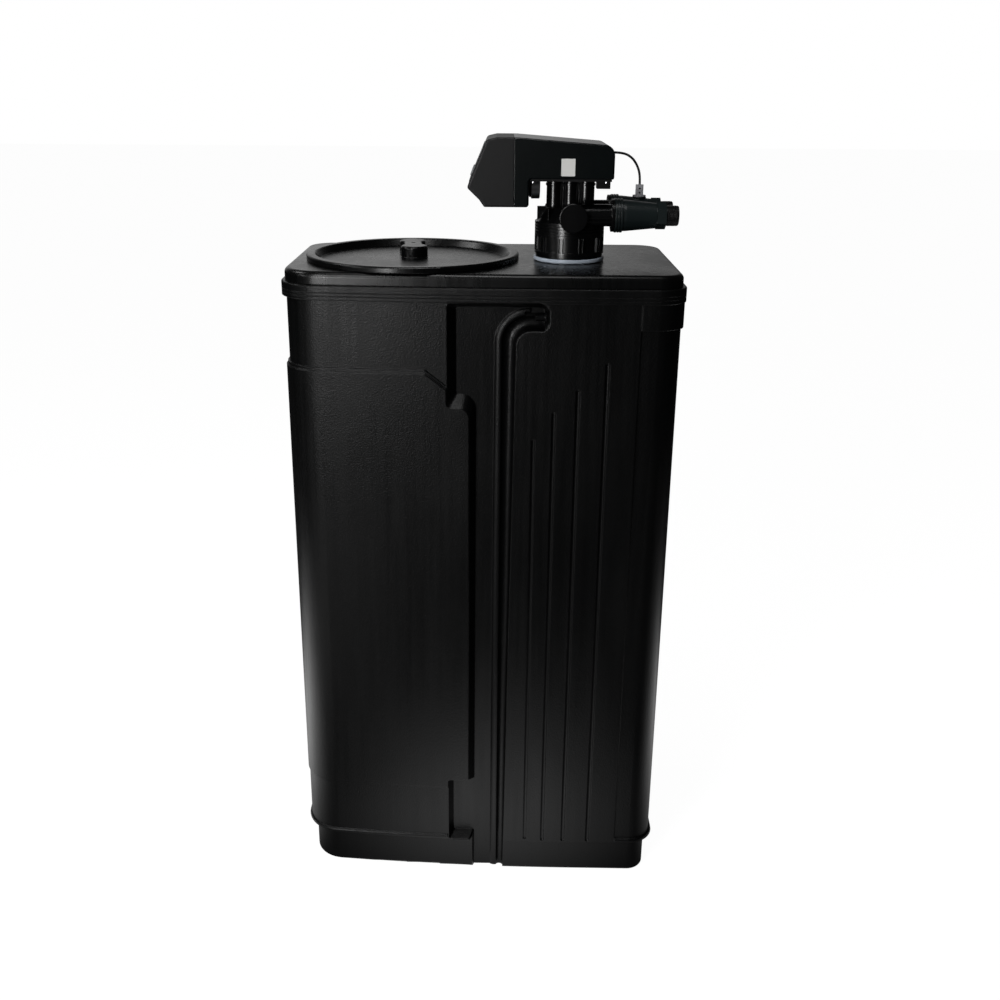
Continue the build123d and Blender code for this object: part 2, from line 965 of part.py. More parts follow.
# Salt lid, dished, with its two-lobed grip
lid_low = cover_top + lift_gap
lid_high = lid_low + lid_rim_height
dish_z = lid_high - lid_dish
plug_inner = lid_plug_radius - lid_seat_wall
grip_plane = Plane((grip_x, grip_y, dish_z), x_dir=(sin(radians(-grip_turn)), cos(radians(-grip_turn)), 0), z_dir=(0, 0, 1))


def grip_outline(inset):
    """Two lobes and the narrower bar between them."""
    with BuildSketch(grip_plane) as outline:
        with Locations((-grip_span / 2, 0), (grip_span / 2, 0)):
            Circle(grip_radius)
        Rectangle(grip_span, grip_waist)
        fillet(outline.vertices(), grip_neck)
        if inset:
            offset(amount=-inset)
    return outline.sketch


with BuildPart() as salt_lid:
    lid_points = [
        (0, dish_z),
        (plug_inner, dish_z),
        (lid_radius - lid_rim_width, lid_high),
        (lid_radius, lid_high),
        (lid_radius, lid_low),
        (lid_plug_radius, lid_low),
        (lid_plug_radius, lid_low - lid_plug_depth),
        (plug_inner, lid_low - lid_plug_depth),
        (plug_inner, dish_z - lid_plate),
        (0, dish_z - lid_plate),
    ]
    add(turned_z(lid_points, lid_x, lid_y))
    rim_edges = salt_lid.edges().filter_by(GeomType.CIRCLE).group_by(Axis.Z)[-1]
    fillet(rim_edges, lid_rim_edge)
    extrude(grip_outline(0.0), amount=grip_height)
    fillet(salt_lid.faces().sort_by(Axis.Z)[-1].edges(), grip_edge)
    hollow = Plane((0, 0, -lid_plate)) * grip_outline(lid_plate)
    extrude(hollow, amount=grip_height, mode=Mode.SUBTRACT)
    with Locations((grip_x, grip_y, dish_z + grip_height)):
        Cylinder(grip_dimple, 2 * grip_dimple_depth, mode=Mode.SUBTRACT)
salt_lid.part.label = "salt_lid"
export_step(salt_lid.part, "parts/salt_lid.step")

# Overflow spigot in the end of the hose recess, and its nut
overflow_inside = overflow_seat + overflow_boss_length
with BuildPart() as overflow_spigot:
    tail = overflow_seat - overflow_flange_height - overflow_reach
    tip = overflow_inside + overflow_nut_height + overflow_seat_depth
    add(tube_x(tail, tip - tail, overflow_radius, overflow_y, overflow_z))
    add(
        tube_x(
            overflow_seat - overflow_flange_height,
            overflow_flange_height,
            overflow_flange,
            overflow_y,
            overflow_z,
        )
    )
    add(
        tube_x(tail - overrun, tip - tail + 2 * overrun, overflow_bore, overflow_y, overflow_z),
        mode=Mode.SUBTRACT,
    )
overflow_spigot.part.label = "overflow_spigot"
export_step(overflow_spigot.part, "parts/overflow_spigot.step")

with BuildPart() as overflow_nut:
    add(hex_x(overflow_inside, overflow_nut_height, overflow_nut_width, overflow_y, overflow_z))
    add(
        tube_x(
            overflow_inside - overrun,
            overflow_nut_height + 2 * overrun,
            overflow_radius + running_fit,
            overflow_y,
            overflow_z,
        ),
        mode=Mode.SUBTRACT,
    )
overflow_nut.part.label = "overflow_nut"
export_step(overflow_nut.part, "parts/overflow_nut.step")


# Resin vessel, blown in one piece with two domes and a neck, on its foot ring
def vessel_form(inset, neck):
    """Vessel's outer form, or the same form inside its wall, with the neck's own radius."""
    radius = vessel_radius - inset
    low_centre = vessel_base + vessel_low_dome
    high_centre = neck_top - neck_length - vessel_top_dome
    spread = acos(neck_radius / vessel_radius)
    high_radius = vessel_top_dome / sin(spread) - inset
    neck_spread = acos(neck / radius)
    with BuildPart() as form:
        with BuildSketch(Plane((valve_x, valve_y, 0), x_dir=(1, 0, 0), z_dir=(0, -1, 0))):
            with BuildLine():
                low = EllipticalCenterArc((0, low_centre), radius, vessel_low_dome - inset, -90, arc_size=90)
                side = Line(low @ 1, (radius, high_centre))
                top = EllipticalCenterArc((0, high_centre), radius, high_radius, 0, arc_size=degrees(neck_spread))
                Polyline(
                    top @ 1,
                    (neck, neck_top + (overrun if inset > 0 else 0.0)),
                    (0, neck_top + (overrun if inset > 0 else 0.0)),
                    low @ 0,
                )
            make_face()
        revolve(axis=vessel_axis)
    return form.part


with BuildPart() as vessel:
    add(vessel_form(0.0, neck_radius))
    add(vessel_form(vessel_wall, neck_bore), mode=Mode.SUBTRACT)
vessel.part.label = "vessel"
export_step(vessel.part, "parts/vessel.step")

with BuildPart() as vessel_foot:
    add(tube_z(tank_wall, foot_height, foot_radius, valve_x, valve_y))
    add(tube_z(tank_wall - overrun, foot_height + 2 * overrun, foot_inner, valve_x, valve_y), mode=Mode.SUBTRACT)
    add(vessel_form(-seat_gap, neck_radius), mode=Mode.SUBTRACT)
vessel_foot.part.label = "vessel_foot"
export_step(vessel_foot.part, "parts/vessel_foot.step")

with BuildPart() as neck_ring:
    ring_points = [
        (spigot_radius + seat_gap, neck_top),
        (neck_ring_radius, neck_top),
        (neck_ring_radius, valve_base),
        (spigot_radius + seat_gap, valve_base),
    ]
    add(turned_z(ring_points, valve_x, valve_y))
    fillet(neck_ring.edges().group_by(SortBy.LENGTH)[-1], neck_ring_height / 4)
neck_ring.part.label = "neck_ring"
export_step(neck_ring.part, "parts/neck_ring.step")

# Riser tube between the two strainer baskets
riser_top = valve_base - spigot_length + riser_seat
lower_basket_low = vessel_base + vessel_wall + basket_lift
lower_basket_top = lower_basket_low + basket_height
riser_low = lower_basket_top - basket_socket
with BuildPart() as riser_tube:
    add(tube_z(riser_low, riser_top - riser_low, riser_radius, valve_x, valve_y))
    add(
        tube_z(riser_low - overrun, riser_top - riser_low + 2 * overrun, riser_radius - riser_wall, valve_x, valve_y),
        mode=Mode.SUBTRACT,
    )
riser_tube.part.label = "riser_tube"
export_step(riser_tube.part, "parts/riser_tube.step")


def basket(low, height, radius, closed):
    """Slotted strainer basket round the riser, with a closed base where the riser ends in it."""
    with BuildPart() as body:
        add(tube_z(low, height, radius, valve_x, valve_y))
        add(
            tube_z(low + basket_cap, height - 2 * basket_cap, radius - basket_wall, valve_x, valve_y),
            mode=Mode.SUBTRACT,
        )
        bore_low = low + basket_cap if closed else low - overrun
        add(
            tube_z(bore_low, low + height + overrun - bore_low, riser_radius + running_fit, valve_x, valve_y),
            mode=Mode.SUBTRACT,
        )
        with BuildSketch(Plane((valve_x, valve_y, low + basket_cap))):
            with PolarLocations(radius, basket_slots):
                Rectangle(4 * basket_wall, basket_slot)
        extrude(amount=height - 2 * basket_cap, mode=Mode.SUBTRACT)
    return body.part


with BuildPart() as lower_basket:
    add(basket(lower_basket_low, basket_height, basket_radius, True))
lower_basket.part.label = "lower_basket"
export_step(lower_basket.part, "parts/lower_basket.step")

upper_basket_top = valve_base - spigot_length - seat_gap
with BuildPart() as upper_basket:
    add(basket(upper_basket_top - top_basket_height, top_basket_height, top_basket_radius, False))
upper_basket.part.label = "upper_basket"
export_step(upper_basket.part, "parts/upper_basket.step")

# Brine well, its cap and the safety float valve in it
well_bore = well_radius - well_wall
well_top = tank_wall + well_height
with BuildPart() as brine_well:
    add(tube_z(tank_wall, well_height, well_radius, well_x, well_y))
    add(tube_z(tank_wall - overrun, well_height + 2 * overrun, well_bore, well_x, well_y), mode=Mode.SUBTRACT)
    with BuildSketch(Plane((well_x, well_y, tank_wall + well_slot_height / 4))):
        with PolarLocations(well_radius, well_slots):
            Rectangle(4 * well_wall, well_slot)
    extrude(amount=well_slot_height, mode=Mode.SUBTRACT)
brine_well.part.label = "brine_well"
export_step(brine_well.part, "parts/brine_well.step")

with BuildPart() as brine_well_cap:
    cap_low = well_top + lift_gap
    cap_inner = well_bore - lift_gap
    cap_points = [
        (0, cap_low),
        (cap_inner - well_cap_lap, cap_low),
        (cap_inner - well_cap_lap, cap_low - well_cap_plug),
        (cap_inner, cap_low - well_cap_plug),
        (cap_inner, cap_low),
        (well_radius + well_cap_lap, cap_low),
        (well_radius + well_cap_lap, cap_low + well_cap_height),
        (0, cap_low + well_cap_height),
    ]
    add(turned_z(cap_points, well_x, well_y))
brine_well_cap.part.label = "brine_well_cap"
export_step(brine_well_cap.part, "parts/brine_well_cap.step")

float_x = well_x + float_offset
with BuildPart() as brine_valve:
    add(tube_z(brine_valve_low, brine_valve_height, brine_valve_radius, well_x, well_y))
    fillet(brine_valve.edges().group_by(Axis.Z)[-1], brine_valve_radius / 6)
    barb_low = brine_valve_low + brine_valve_height
    add(tube_z(barb_low, brine_barb_height, brine_barb_radius, well_x, well_y))
    with BuildSketch(Plane((well_x, well_y, brine_arm_low))) as arm_plan:
        Circle(well_bore - seat_gap)
        Rectangle(2 * well_radius, brine_arm_width, align=(Align.MIN, Align.CENTER), mode=Mode.INTERSECT)
    extrude(amount=brine_arm_height)
    add(
        tube_z(brine_arm_low - overrun, brine_arm_height + 2 * overrun, rod_radius + 2 * running_fit, float_x, well_y),
        mode=Mode.SUBTRACT,
    )
    add(
        tube_z(brine_valve_low - overrun, pickup_seat + overrun, pickup_radius + running_fit, well_x, well_y),
        mode=Mode.SUBTRACT,
    )
    add(
        tube_z(brine_valve_low, brine_valve_height + brine_barb_height + overrun, brine_barb_radius / 2, well_x, well_y),
        mode=Mode.SUBTRACT,
    )
brine_valve.part.label = "brine_valve"
export_step(brine_valve.part, "parts/brine_valve.step")

cage_top = tank_wall + cage_height
pickup_low = cage_top - pickup_seat - cage_wall
pickup_top = brine_valve_low + pickup_seat
with BuildPart() as pickup_tube:
    add(tube_z(pickup_low, pickup_top - pickup_low, pickup_radius, well_x, well_y))
    add(
        tube_z(pickup_low - overrun, pickup_top - pickup_low + 2 * overrun, pickup_radius - pickup_wall, well_x, well_y),
        mode=Mode.SUBTRACT,
    )
pickup_tube.part.label = "pickup_tube"
export_step(pickup_tube.part, "parts/pickup_tube.step")

with BuildPart() as air_check_cage:
    add(tube_z(tank_wall, cage_height, cage_radius, well_x, well_y))
    add(
        tube_z(tank_wall + cage_wall, cage_height - 2 * cage_wall, cage_radius - cage_wall, well_x, well_y),
        mode=Mode.SUBTRACT,
    )
    add(
        tube_z(cage_top - cage_wall - overrun, cage_wall + 2 * overrun, pickup_radius + running_fit, well_x, well_y),
        mode=Mode.SUBTRACT,
    )
    with BuildSketch(Plane((well_x, well_y, tank_wall + 2 * cage_wall))):
        with PolarLocations(cage_radius, cage_slots):
            Rectangle(4 * cage_wall, cage_slot)
    extrude(amount=cage_height - pickup_seat - 4 * cage_wall, mode=Mode.SUBTRACT)
air_check_cage.part.label = "air_check_cage"
export_step(air_check_cage.part, "parts/air_check_cage.step")

rod_stop = brine_arm_low + brine_arm_height + lift_gap
with BuildPart() as brine_float:
    add(tube_z(float_low, float_height, float_radius, float_x, well_y))
    fillet(brine_float.edges().filter_by(GeomType.CIRCLE), float_edge)
    add(tube_z(float_low - rod_tail, rod_stop + rod_head_height - float_low + rod_tail, rod_radius, float_x, well_y))
    add(tube_z(rod_stop, rod_head_height, rod_head, float_x, well_y))
brine_float.part.label = "brine_float"
export_step(brine_float.part, "parts/brine_float.step")

# Adapter that screws into the vessel's neck, its seal, and the collar round it
core_top = collar_top + seat_gap
riser_bore = riser_radius + running_fit
with BuildPart() as tank_adapter:
    groove_low = valve_base - seal_height - seat_gap
    adapter_points = [
        (riser_bore, valve_base - spigot_length),
        (spigot_radius, valve_base - spigot_length),
        (spigot_radius, groove_low),
        (spigot_radius - seal_height, groove_low),
        (spigot_radius - seal_height, valve_base - seat_gap),
        (spigot_radius, valve_base - seat_gap),
        (spigot_radius, valve_base),
        (base_flange_radius, valve_base),
        (base_flange_radius, collar_low),
        (collar_core, collar_low),
        (collar_core, core_top),
        (riser_bore, core_top),
    ]
    add(turned_z(adapter_points, valve_x, valve_y))
tank_adapter.part.label = "tank_adapter"
export_step(tank_adapter.part, "parts/tank_adapter.step")

with BuildPart() as neck_seal:
    seal_points = [
        (spigot_radius - seal_height + running_fit, groove_low + running_fit),
        (spigot_radius + running_fit, groove_low + running_fit),
        (spigot_radius + running_fit, valve_base - seat_gap - running_fit),
        (spigot_radius - seal_height + running_fit, valve_base - seat_gap - running_fit),
    ]
    add(turned_z(seal_points, valve_x, valve_y))
neck_seal.part.label = "neck_seal"
export_step(neck_seal.part, "parts/neck_seal.step")

with BuildPart() as collar:
    collar_bore = collar_core + seat_gap
    collar_points = [
        (collar_bore, collar_low),
        (collar_radius, collar_low),
        (collar_radius, collar_low + collar_rim),
        (collar_ring, collar_low + collar_rim),
        (collar_ring, collar_top - collar_rim),
        (collar_radius, collar_top - collar_rim),
        (collar_radius, collar_top),
        (collar_bore, collar_top),
    ]
    add(turned_z(collar_points, valve_x, valve_y))
    with BuildSketch(Plane((valve_x, valve_y, collar_low + collar_rim))):
        with PolarLocations(0, collar_ribs):
            with Locations((collar_ring, -collar_rib_pitch / 2), (collar_ring, collar_rib_pitch / 2)):
                Rectangle(2 * (collar_radius - collar_ring), collar_rib)
        Circle(collar_radius, mode=Mode.INTERSECT)
        Circle((collar_bore + collar_ring) / 2, mode=Mode.SUBTRACT)
    extrude(amount=collar_height - 2 * collar_rim)
collar.part.label = "collar"
export_step(collar.part, "parts/collar.step")


def tube_taper_x(start, length, first_radius, last_radius, y, z):
    """Round bar along X that tapers from one radius to another."""
    points = [(start, 0), (start, first_radius), (start + length, last_radius), (start + length, 0)]
    return turned_x(points, y, z)


def nut_y(start, length, width, x, z):
    """Hexagonal bar along Y."""
    with BuildPart() as bar:
        with BuildSketch(Plane((x, start, z), x_dir=(1, 0, 0), z_dir=(0, 1, 0))):
            RegularPolygon(width / 2, 6, major_radius=False)
        extrude(amount=length)
    return bar.part


# Valve body: flange stack, cone with gussets, three upright cylinders, injector boss and pipe stubs
boss_front = valve_y - injector_reach
stub_end = valve_x + pipe_end
drain_x = valve_x + drain_shift
drain_end = valve_y + drain_reach
injector_x = valve_x + injector_shift
brine_port_x = cylinder_places[0]
brine_port_end = valve_y + brine_port_reach
with BuildPart() as valve_body:
    add(tube_z(stack_low, stack_height, collar_radius, valve_x, valve_y))
    cone_points = [(0, stack_top), (cone_low_radius, stack_top), (cone_top_radius, cone_top), (0, cone_top)]
    add(turned_z(cone_points, valve_x, valve_y))
    for share in (1 / 4, 1 / 2, 3 / 4):
        with BuildSketch(Plane((valve_x, valve_y, stack_low + share * stack_height - stack_groove / 2))):
            Circle(collar_radius + overrun)
            Circle(collar_radius - stack_groove_depth, mode=Mode.SUBTRACT)
        extrude(amount=stack_groove, mode=Mode.SUBTRACT)
    with BuildSketch(Plane((valve_x, valve_y, stack_top))):
        with PolarLocations(0, gusset_count):
            Rectangle(cone_low_radius, gusset, align=(Align.MIN, Align.CENTER))
    extrude(amount=cone_height)
    for place in cylinder_places:
        add(tube_z(stack_top, cylinder_top - stack_top, cylinder_radius, place, valve_y))
        add(
            tube_z(
                cylinder_top - 3 * cylinder_ring_height,
                cylinder_ring_height,
                cylinder_radius + cylinder_ring,
                place,
                valve_y,
            )
        )
    with BuildSketch(Plane((valve_x, valve_y, stack_top))):
        Rectangle(2 * cylinder_pitch, cylinder_web)
    extrude(amount=cylinder_top - stack_top)
    add(tube_y(boss_front, injector_reach, injector_boss, injector_x, injector_z))
    add(tube_y(boss_front, injector_cap_back, injector_cap_step, injector_x, injector_z))
    add(tube_y(valve_y, drain_reach, drain_boss, drain_x, pipe_z))
    add(tube_y(valve_y, brine_port_reach, brine_port_boss, brine_port_x, brine_port_z))
    for pipe_y in (inlet_y, outlet_y):
        add(tube_x(valve_x, pipe_end, pipe_radius, pipe_y, pipe_z))
        add(tube_x(stub_end - flange_height, flange_height, flange_radius, pipe_y, pipe_z))
        add(
            tube_x(stub_end - pipe_bore_length, pipe_bore_length + overrun, pipe_bore, pipe_y, pipe_z),
            mode=Mode.SUBTRACT,
        )
    for place in cylinder_places:
        add(
            tube_z(piston_floor, cylinder_top + overrun - piston_floor, piston_radius + running_fit, place, valve_y),
            mode=Mode.SUBTRACT,
        )
    seal_depth = injector_seal_height + injector_plug
    add(
        tube_y(boss_front - overrun, seal_depth + overrun, injector_seal + running_fit, injector_x, injector_z),
        mode=Mode.SUBTRACT,
    )
    add(
        tube_y(drain_end - drain_reach / 2, drain_reach / 2 + overrun, drain_bore, drain_x, pipe_z),
        mode=Mode.SUBTRACT,
    )
valve_body.part.label = "valve_body"
export_step(valve_body.part, "parts/valve_body.step")

with BuildPart() as injector_cap:
    cap_front = boss_front - seat_gap - injector_cap_height
    add(tube_y(cap_front, injector_cap_height, injector_cap_radius, injector_x, injector_z))
    fillet(injector_cap.edges().group_by(Axis.Y)[0], injector_cap_edge)
    add(tube_y(boss_front - seat_gap, injector_plug, injector_seal, injector_x, injector_z))
injector_cap.part.label = "injector_cap"
export_step(injector_cap.part, "parts/injector_cap.step")

with BuildPart() as injector_seal_ring:
    seal_back = boss_front + seal_depth
    add(tube_y(seal_back, -injector_seal_height, injector_seal, injector_x, injector_z))
    add(
        tube_y(
            seal_back + overrun,
            -injector_seal_height - 2 * overrun,
            injector_seal - injector_seal_wall,
            injector_x,
            injector_z,
        ),
        mode=Mode.SUBTRACT,
    )
injector_seal_ring.part.label = "injector_seal"
export_step(injector_seal_ring.part, "parts/injector_seal.step")

# Couplings, pipe bodies and threaded nozzles, the same at the inlet and the outlet
coupling_low = stub_end + seat_gap
coupling_high = coupling_low + coupling_length
body_low = coupling_high + seat_gap
body_high = body_low + body_length
spanner_high = body_high + spanner_length
nozzle_high = spanner_high + nozzle_length


def coupling(pipe_y):
    """Grooved coupling ring round a pipe body's spigot."""
    with BuildPart() as ring:
        add(tube_x(coupling_low, coupling_length, coupling_radius, pipe_y, pipe_z))
        add(
            tube_x(coupling_low - overrun, coupling_length + 2 * overrun, coupling_bore, pipe_y, pipe_z),
            mode=Mode.SUBTRACT,
        )
        fillet(ring.edges().group_by(SortBy.LENGTH)[-1], coupling_groove / 2)
        for i in range(coupling_grooves):
            groove_x = coupling_low + (i + 1) * coupling_length / (coupling_grooves + 1)
            with BuildSketch(Plane((groove_x, pipe_y, pipe_z), x_dir=(0, 1, 0), z_dir=(1, 0, 0))):
                Circle(coupling_radius + overrun)
                Circle(coupling_radius - coupling_groove, mode=Mode.SUBTRACT)
            extrude(amount=coupling_groove / 2, both=True, mode=Mode.SUBTRACT)
    return ring.part


def pipe_body(pipe_y):
    """Tapered pipe body with its spigot in the coupling ring and its spanner flats, still without a bore."""
    body_points = [
        (coupling_low, 0),
        (coupling_low, coupling_bore - seat_gap),
        (body_low, coupling_bore - seat_gap),
        (body_low, body_radius),
        (body_low + body_straight, body_radius),
        (body_high, body_small_radius),
        (body_high, 0),
    ]
    with BuildPart() as body:
        add(turned_x(body_points, pipe_y, pipe_z))
        add(hex_x(body_high, spanner_length, spanner_width, pipe_y, pipe_z))
        add(
            tube_x(spanner_high - nozzle_root, nozzle_root + overrun, nozzle_root_radius, pipe_y, pipe_z),
            mode=Mode.SUBTRACT,
        )
    return body.part


def nozzle(pipe_y):
    """Threaded nozzle that is screwed into the spanner flats."""
    with BuildPart() as tube:
        add(tube_x(spanner_high + seat_gap, nozzle_length - seat_gap, nozzle_radius, pipe_y, pipe_z))
        chamfer(tube.edges().group_by(Axis.X)[-1], nozzle_edge)
        root_low = spanner_high - nozzle_root + seat_gap
        add(tube_x(root_low, nozzle_root, nozzle_root_radius - running_fit, pipe_y, pipe_z))
        add(
            tube_x(root_low - overrun, nozzle_high - root_low + 2 * overrun, nozzle_bore, pipe_y, pipe_z),
            mode=Mode.SUBTRACT,
        )
    return tube.part


with BuildPart() as inlet_coupling:
    add(coupling(inlet_y))
inlet_coupling.part.label = "inlet_coupling"
export_step(inlet_coupling.part, "parts/inlet_coupling.step")

with BuildPart() as outlet_coupling:
    add(coupling(outlet_y))
outlet_coupling.part.label = "outlet_coupling"
export_step(outlet_coupling.part, "parts/outlet_coupling.step")

with BuildPart() as inlet_body:
    add(pipe_body(inlet_y))
    add(
        tube_x(coupling_low - overrun, spanner_high - coupling_low + 2 * overrun, nozzle_bore, inlet_y, pipe_z),
        mode=Mode.SUBTRACT,
    )
inlet_body.part.label = "inlet_body"
export_step(inlet_body.part, "parts/inlet_body.step")

with BuildPart() as inlet_nozzle:
    add(nozzle(inlet_y))
inlet_nozzle.part.label = "inlet_nozzle"
export_step(inlet_nozzle.part, "parts/inlet_nozzle.step")

with BuildPart() as outlet_nozzle:
    add(nozzle(outlet_y))
outlet_nozzle.part.label = "outlet_nozzle"
export_step(outlet_nozzle.part, "parts/outlet_nozzle.step")

# Flow meter in the outlet's pipe body, with its turbine under the sensor probe
probe_x = valve_x + probe_reach
boss_top = pipe_z + probe_boss_top
with BuildPart() as meter_housing:
    add(pipe_body(outlet_y))
    add(tube_z(pipe_z, probe_boss_top, probe_boss, probe_x, outlet_y))
    add(
        tube_x(coupling_low - overrun, spanner_high - coupling_low + 2 * overrun, nozzle_bore, outlet_y, pipe_z),
        mode=Mode.SUBTRACT,
    )
    add(
        tube_x(body_low - overrun, meter_bore_length + overrun, meter_bore, outlet_y, pipe_z),
        mode=Mode.SUBTRACT,
    )
    add(
        tube_z(boss_top - probe_stem_length - seat_gap, 2 * probe_stem_length, probe_bore, probe_x, outlet_y),
        mode=Mode.SUBTRACT,
    )
meter_housing.part.label = "meter_housing"
export_step(meter_housing.part, "parts/meter_housing.step")

meter_plane = Plane((0, outlet_y, pipe_z), x_dir=(0, 1, 0), z_dir=(1, 0, 0))
spindle_low = probe_x - spindle_length / 2
with BuildPart() as turbine_spindle:
    add(tube_x(spindle_low, spindle_length, spindle_radius, outlet_y, pipe_z))
    for place in (spindle_low, spindle_low + spindle_length - spider_height):
        with BuildSketch(meter_plane.offset(place)):
            Circle(meter_bore - running_fit)
            Circle(meter_bore - spider_rim, mode=Mode.SUBTRACT)
            with PolarLocations(0, spider_arms):
                Rectangle(meter_bore - spider_rim / 2, spider_arm, align=(Align.MIN, Align.CENTER))
            Circle(2 * spindle_radius)
        extrude(amount=spider_height)
turbine_spindle.part.label = "turbine_spindle"
export_step(turbine_spindle.part, "parts/turbine_spindle.step")

turbine_low = probe_x - turbine_length / 2
with BuildPart() as turbine_blade_form:
    for share in (0, 1 / 2, 1):
        with BuildSketch(meter_plane.offset(turbine_low + share * turbine_length).rotated((0, 0, share * turbine_twist))):
            Rectangle(turbine_radius, turbine_blade, align=(Align.MIN, Align.CENTER))
    loft()
with BuildPart() as meter_turbine:
    add(tube_x(turbine_low, turbine_length, turbine_hub, outlet_y, pipe_z))
    for i in range(turbine_blades):
        add(turbine_blade_form.part.rotate(Axis((0, outlet_y, pipe_z), (1, 0, 0)), i * 360 / turbine_blades))
    add(
        tube_x(turbine_low - overrun, turbine_length + 2 * overrun, spindle_radius + running_fit, outlet_y, pipe_z),
        mode=Mode.SUBTRACT,
    )
meter_turbine.part.label = "meter_turbine"
export_step(meter_turbine.part, "parts/meter_turbine.step")

disc_low = boss_top + seat_gap
tab_top = disc_low + probe_disc_height + tab_height
with BuildPart() as sensor_probe:
    add(tube_z(disc_low, probe_disc_height, probe_disc, probe_x, outlet_y))
    add(
        tube_z(boss_top - probe_stem_length, probe_stem_length + seat_gap, probe_bore - running_fit, probe_x, outlet_y)
    )
    with BuildSketch(Plane((probe_x, outlet_y, disc_low + probe_disc_height))):
        RectangleRounded(tab_width, tab_depth, tab_edge)
    extrude(amount=tab_height)
sensor_probe.part.label = "sensor_probe"
export_step(sensor_probe.part, "parts/sensor_probe.step")

# Sensor lead: its route from the controller's end wall to the probe, as (X, Z) places over the outlet
lead_start = valve_x + cover_end + grommet_length
lead_route = [
    (lead_start, lead_exit_z),
    (lead_start + 15.0, lead_exit_z),
    (lead_start + 28.0, lead_exit_z - 6.2),
    (probe_x - 4.0, lead_exit_z - 17.7),
    (probe_x, lead_exit_z - 30.7),
    (probe_x, tab_top),
]
lead_points = [Vector(x, outlet_y, z) for x, z in lead_route]
lead_runs = [b - a for a, b in zip(lead_points, lead_points[1:])]
lead_radii = []
arc_share = 0.45
for before, after in zip(lead_runs, lead_runs[1:]):
    turn = radians(before.get_angle(after))
    lead_radii.append(arc_share * min(before.length, after.length) / tan(turn / 2))
print("lead radii", [round(radius, 1) for radius in lead_radii])
with BuildPart() as sensor_lead:
    with BuildLine() as lead_path:
        FilletPolyline(*lead_points, radius=lead_radii)
    lead_wire = lead_path.wires()[0]
    with BuildSketch(Plane(lead_wire @ 0, z_dir=lead_wire % 0)):
        Circle(lead_radius)
    sweep()
print("lead length", round(lead_wire.length, 1))
print("lead volume share", round(sensor_lead.part.volume / (pi * lead_radius**2 * lead_wire.length), 4))
sensor_lead.part.label = "sensor_lead"
export_step(sensor_lead.part, "parts/sensor_lead.step")

box_end = valve_x + cover_end
with BuildPart() as lead_grommet:
    add(tube_x(box_end - shell_wall, shell_wall, grommet_neck, outlet_y, lead_exit_z))
    add(tube_taper_x(box_end, grommet_length, grommet_radius, grommet_neck, outlet_y, lead_exit_z))
lead_grommet.part.label = "lead_grommet"
export_step(lead_grommet.part, "parts/lead_grommet.step")

# Drain and brine connections at the back
with BuildPart() as drain_connector:
    drain_tail = drain_end + seat_gap + drain_nut_height
    add(tube_y(drain_end + seat_gap, drain_nut_height + drain_barb_length, drain_barb, drain_x, pipe_z))
    add(
        tube_y(drain_end + seat_gap, drain_nut_height / 3, drain_boss, drain_x, pipe_z),
    )
    for i in range(drain_rings):
        ring_y = drain_tail + (i + 1) * drain_barb_length / (drain_rings + 1)
        ring_radius = drain_barb + drain_ring
        with BuildSketch(Plane((drain_x, ring_y, pipe_z), x_dir=(1, 0, 0), z_dir=(0, 1, 0))) as barb_large:
            Circle(ring_radius)
        extrude(amount=drain_barb_length / (drain_rings + 1), taper=degrees(drain_ring / drain_barb_length))
    add(
        tube_y(drain_end, drain_nut_height + drain_barb_length + overrun, drain_bore, drain_x, pipe_z),
        mode=Mode.SUBTRACT,
    )
drain_connector.part.label = "drain_connector"
export_step(drain_connector.part, "parts/drain_connector.step")

with BuildPart() as drain_nut:
    add(nut_y(drain_end + seat_gap + drain_nut_height / 3 + seat_gap, drain_nut_height, drain_nut_width, drain_x, pipe_z))
    add(
        tube_y(drain_end, 2 * drain_nut_height, drain_barb + running_fit, drain_x, pipe_z),
        mode=Mode.SUBTRACT,
    )
drain_nut.part.label = "drain_nut"
export_step(drain_nut.part, "parts/drain_nut.step")

with BuildPart() as brine_connector:
    add(
        nut_y(
            brine_port_end + seat_gap, brine_port_nut_height, brine_port_nut_width, brine_port_x, brine_port_z
        )
    )
    port_length = brine_port_nut_height + brine_port_tail_length
    add(tube_y(brine_port_end + seat_gap, port_length, brine_port_tail, brine_port_x, brine_port_z))
    add(
        tube_y(brine_port_end, port_length + overrun, brine_port_tail / 2, brine_port_x, brine_port_z),
        mode=Mode.SUBTRACT,
    )
brine_connector.part.label = "brine_connector"
export_step(brine_connector.part, "parts/brine_connector.step")

# Pistons in the valve body's cylinders, at the pressed end of their stroke
stem_top = cam_axis_z - cam_radius - cam_gap
for name, place in zip(piston_names, cylinder_places):
    with BuildPart() as piston:
        add(tube_z(piston_low, piston_height, piston_radius, place, valve_y))
        for i in range(piston_rings):
            ring_z = piston_low + (i + 1) * piston_height / (piston_rings + 1) - piston_ring / 2
            with BuildSketch(Plane((place, valve_y, ring_z))):
                Circle(piston_radius + overrun)
                Circle(piston_radius - piston_ring, mode=Mode.SUBTRACT)
            extrude(amount=piston_ring, mode=Mode.SUBTRACT)
        add(tube_z(piston_low, stem_top - piston_low, stem_radius, place, valve_y))
        add(tube_z(stem_top - stem_head_height, stem_head_height, stem_head_radius, place, valve_y))
    piston.part.label = name
    export_step(piston.part, "parts/" + name + ".step")

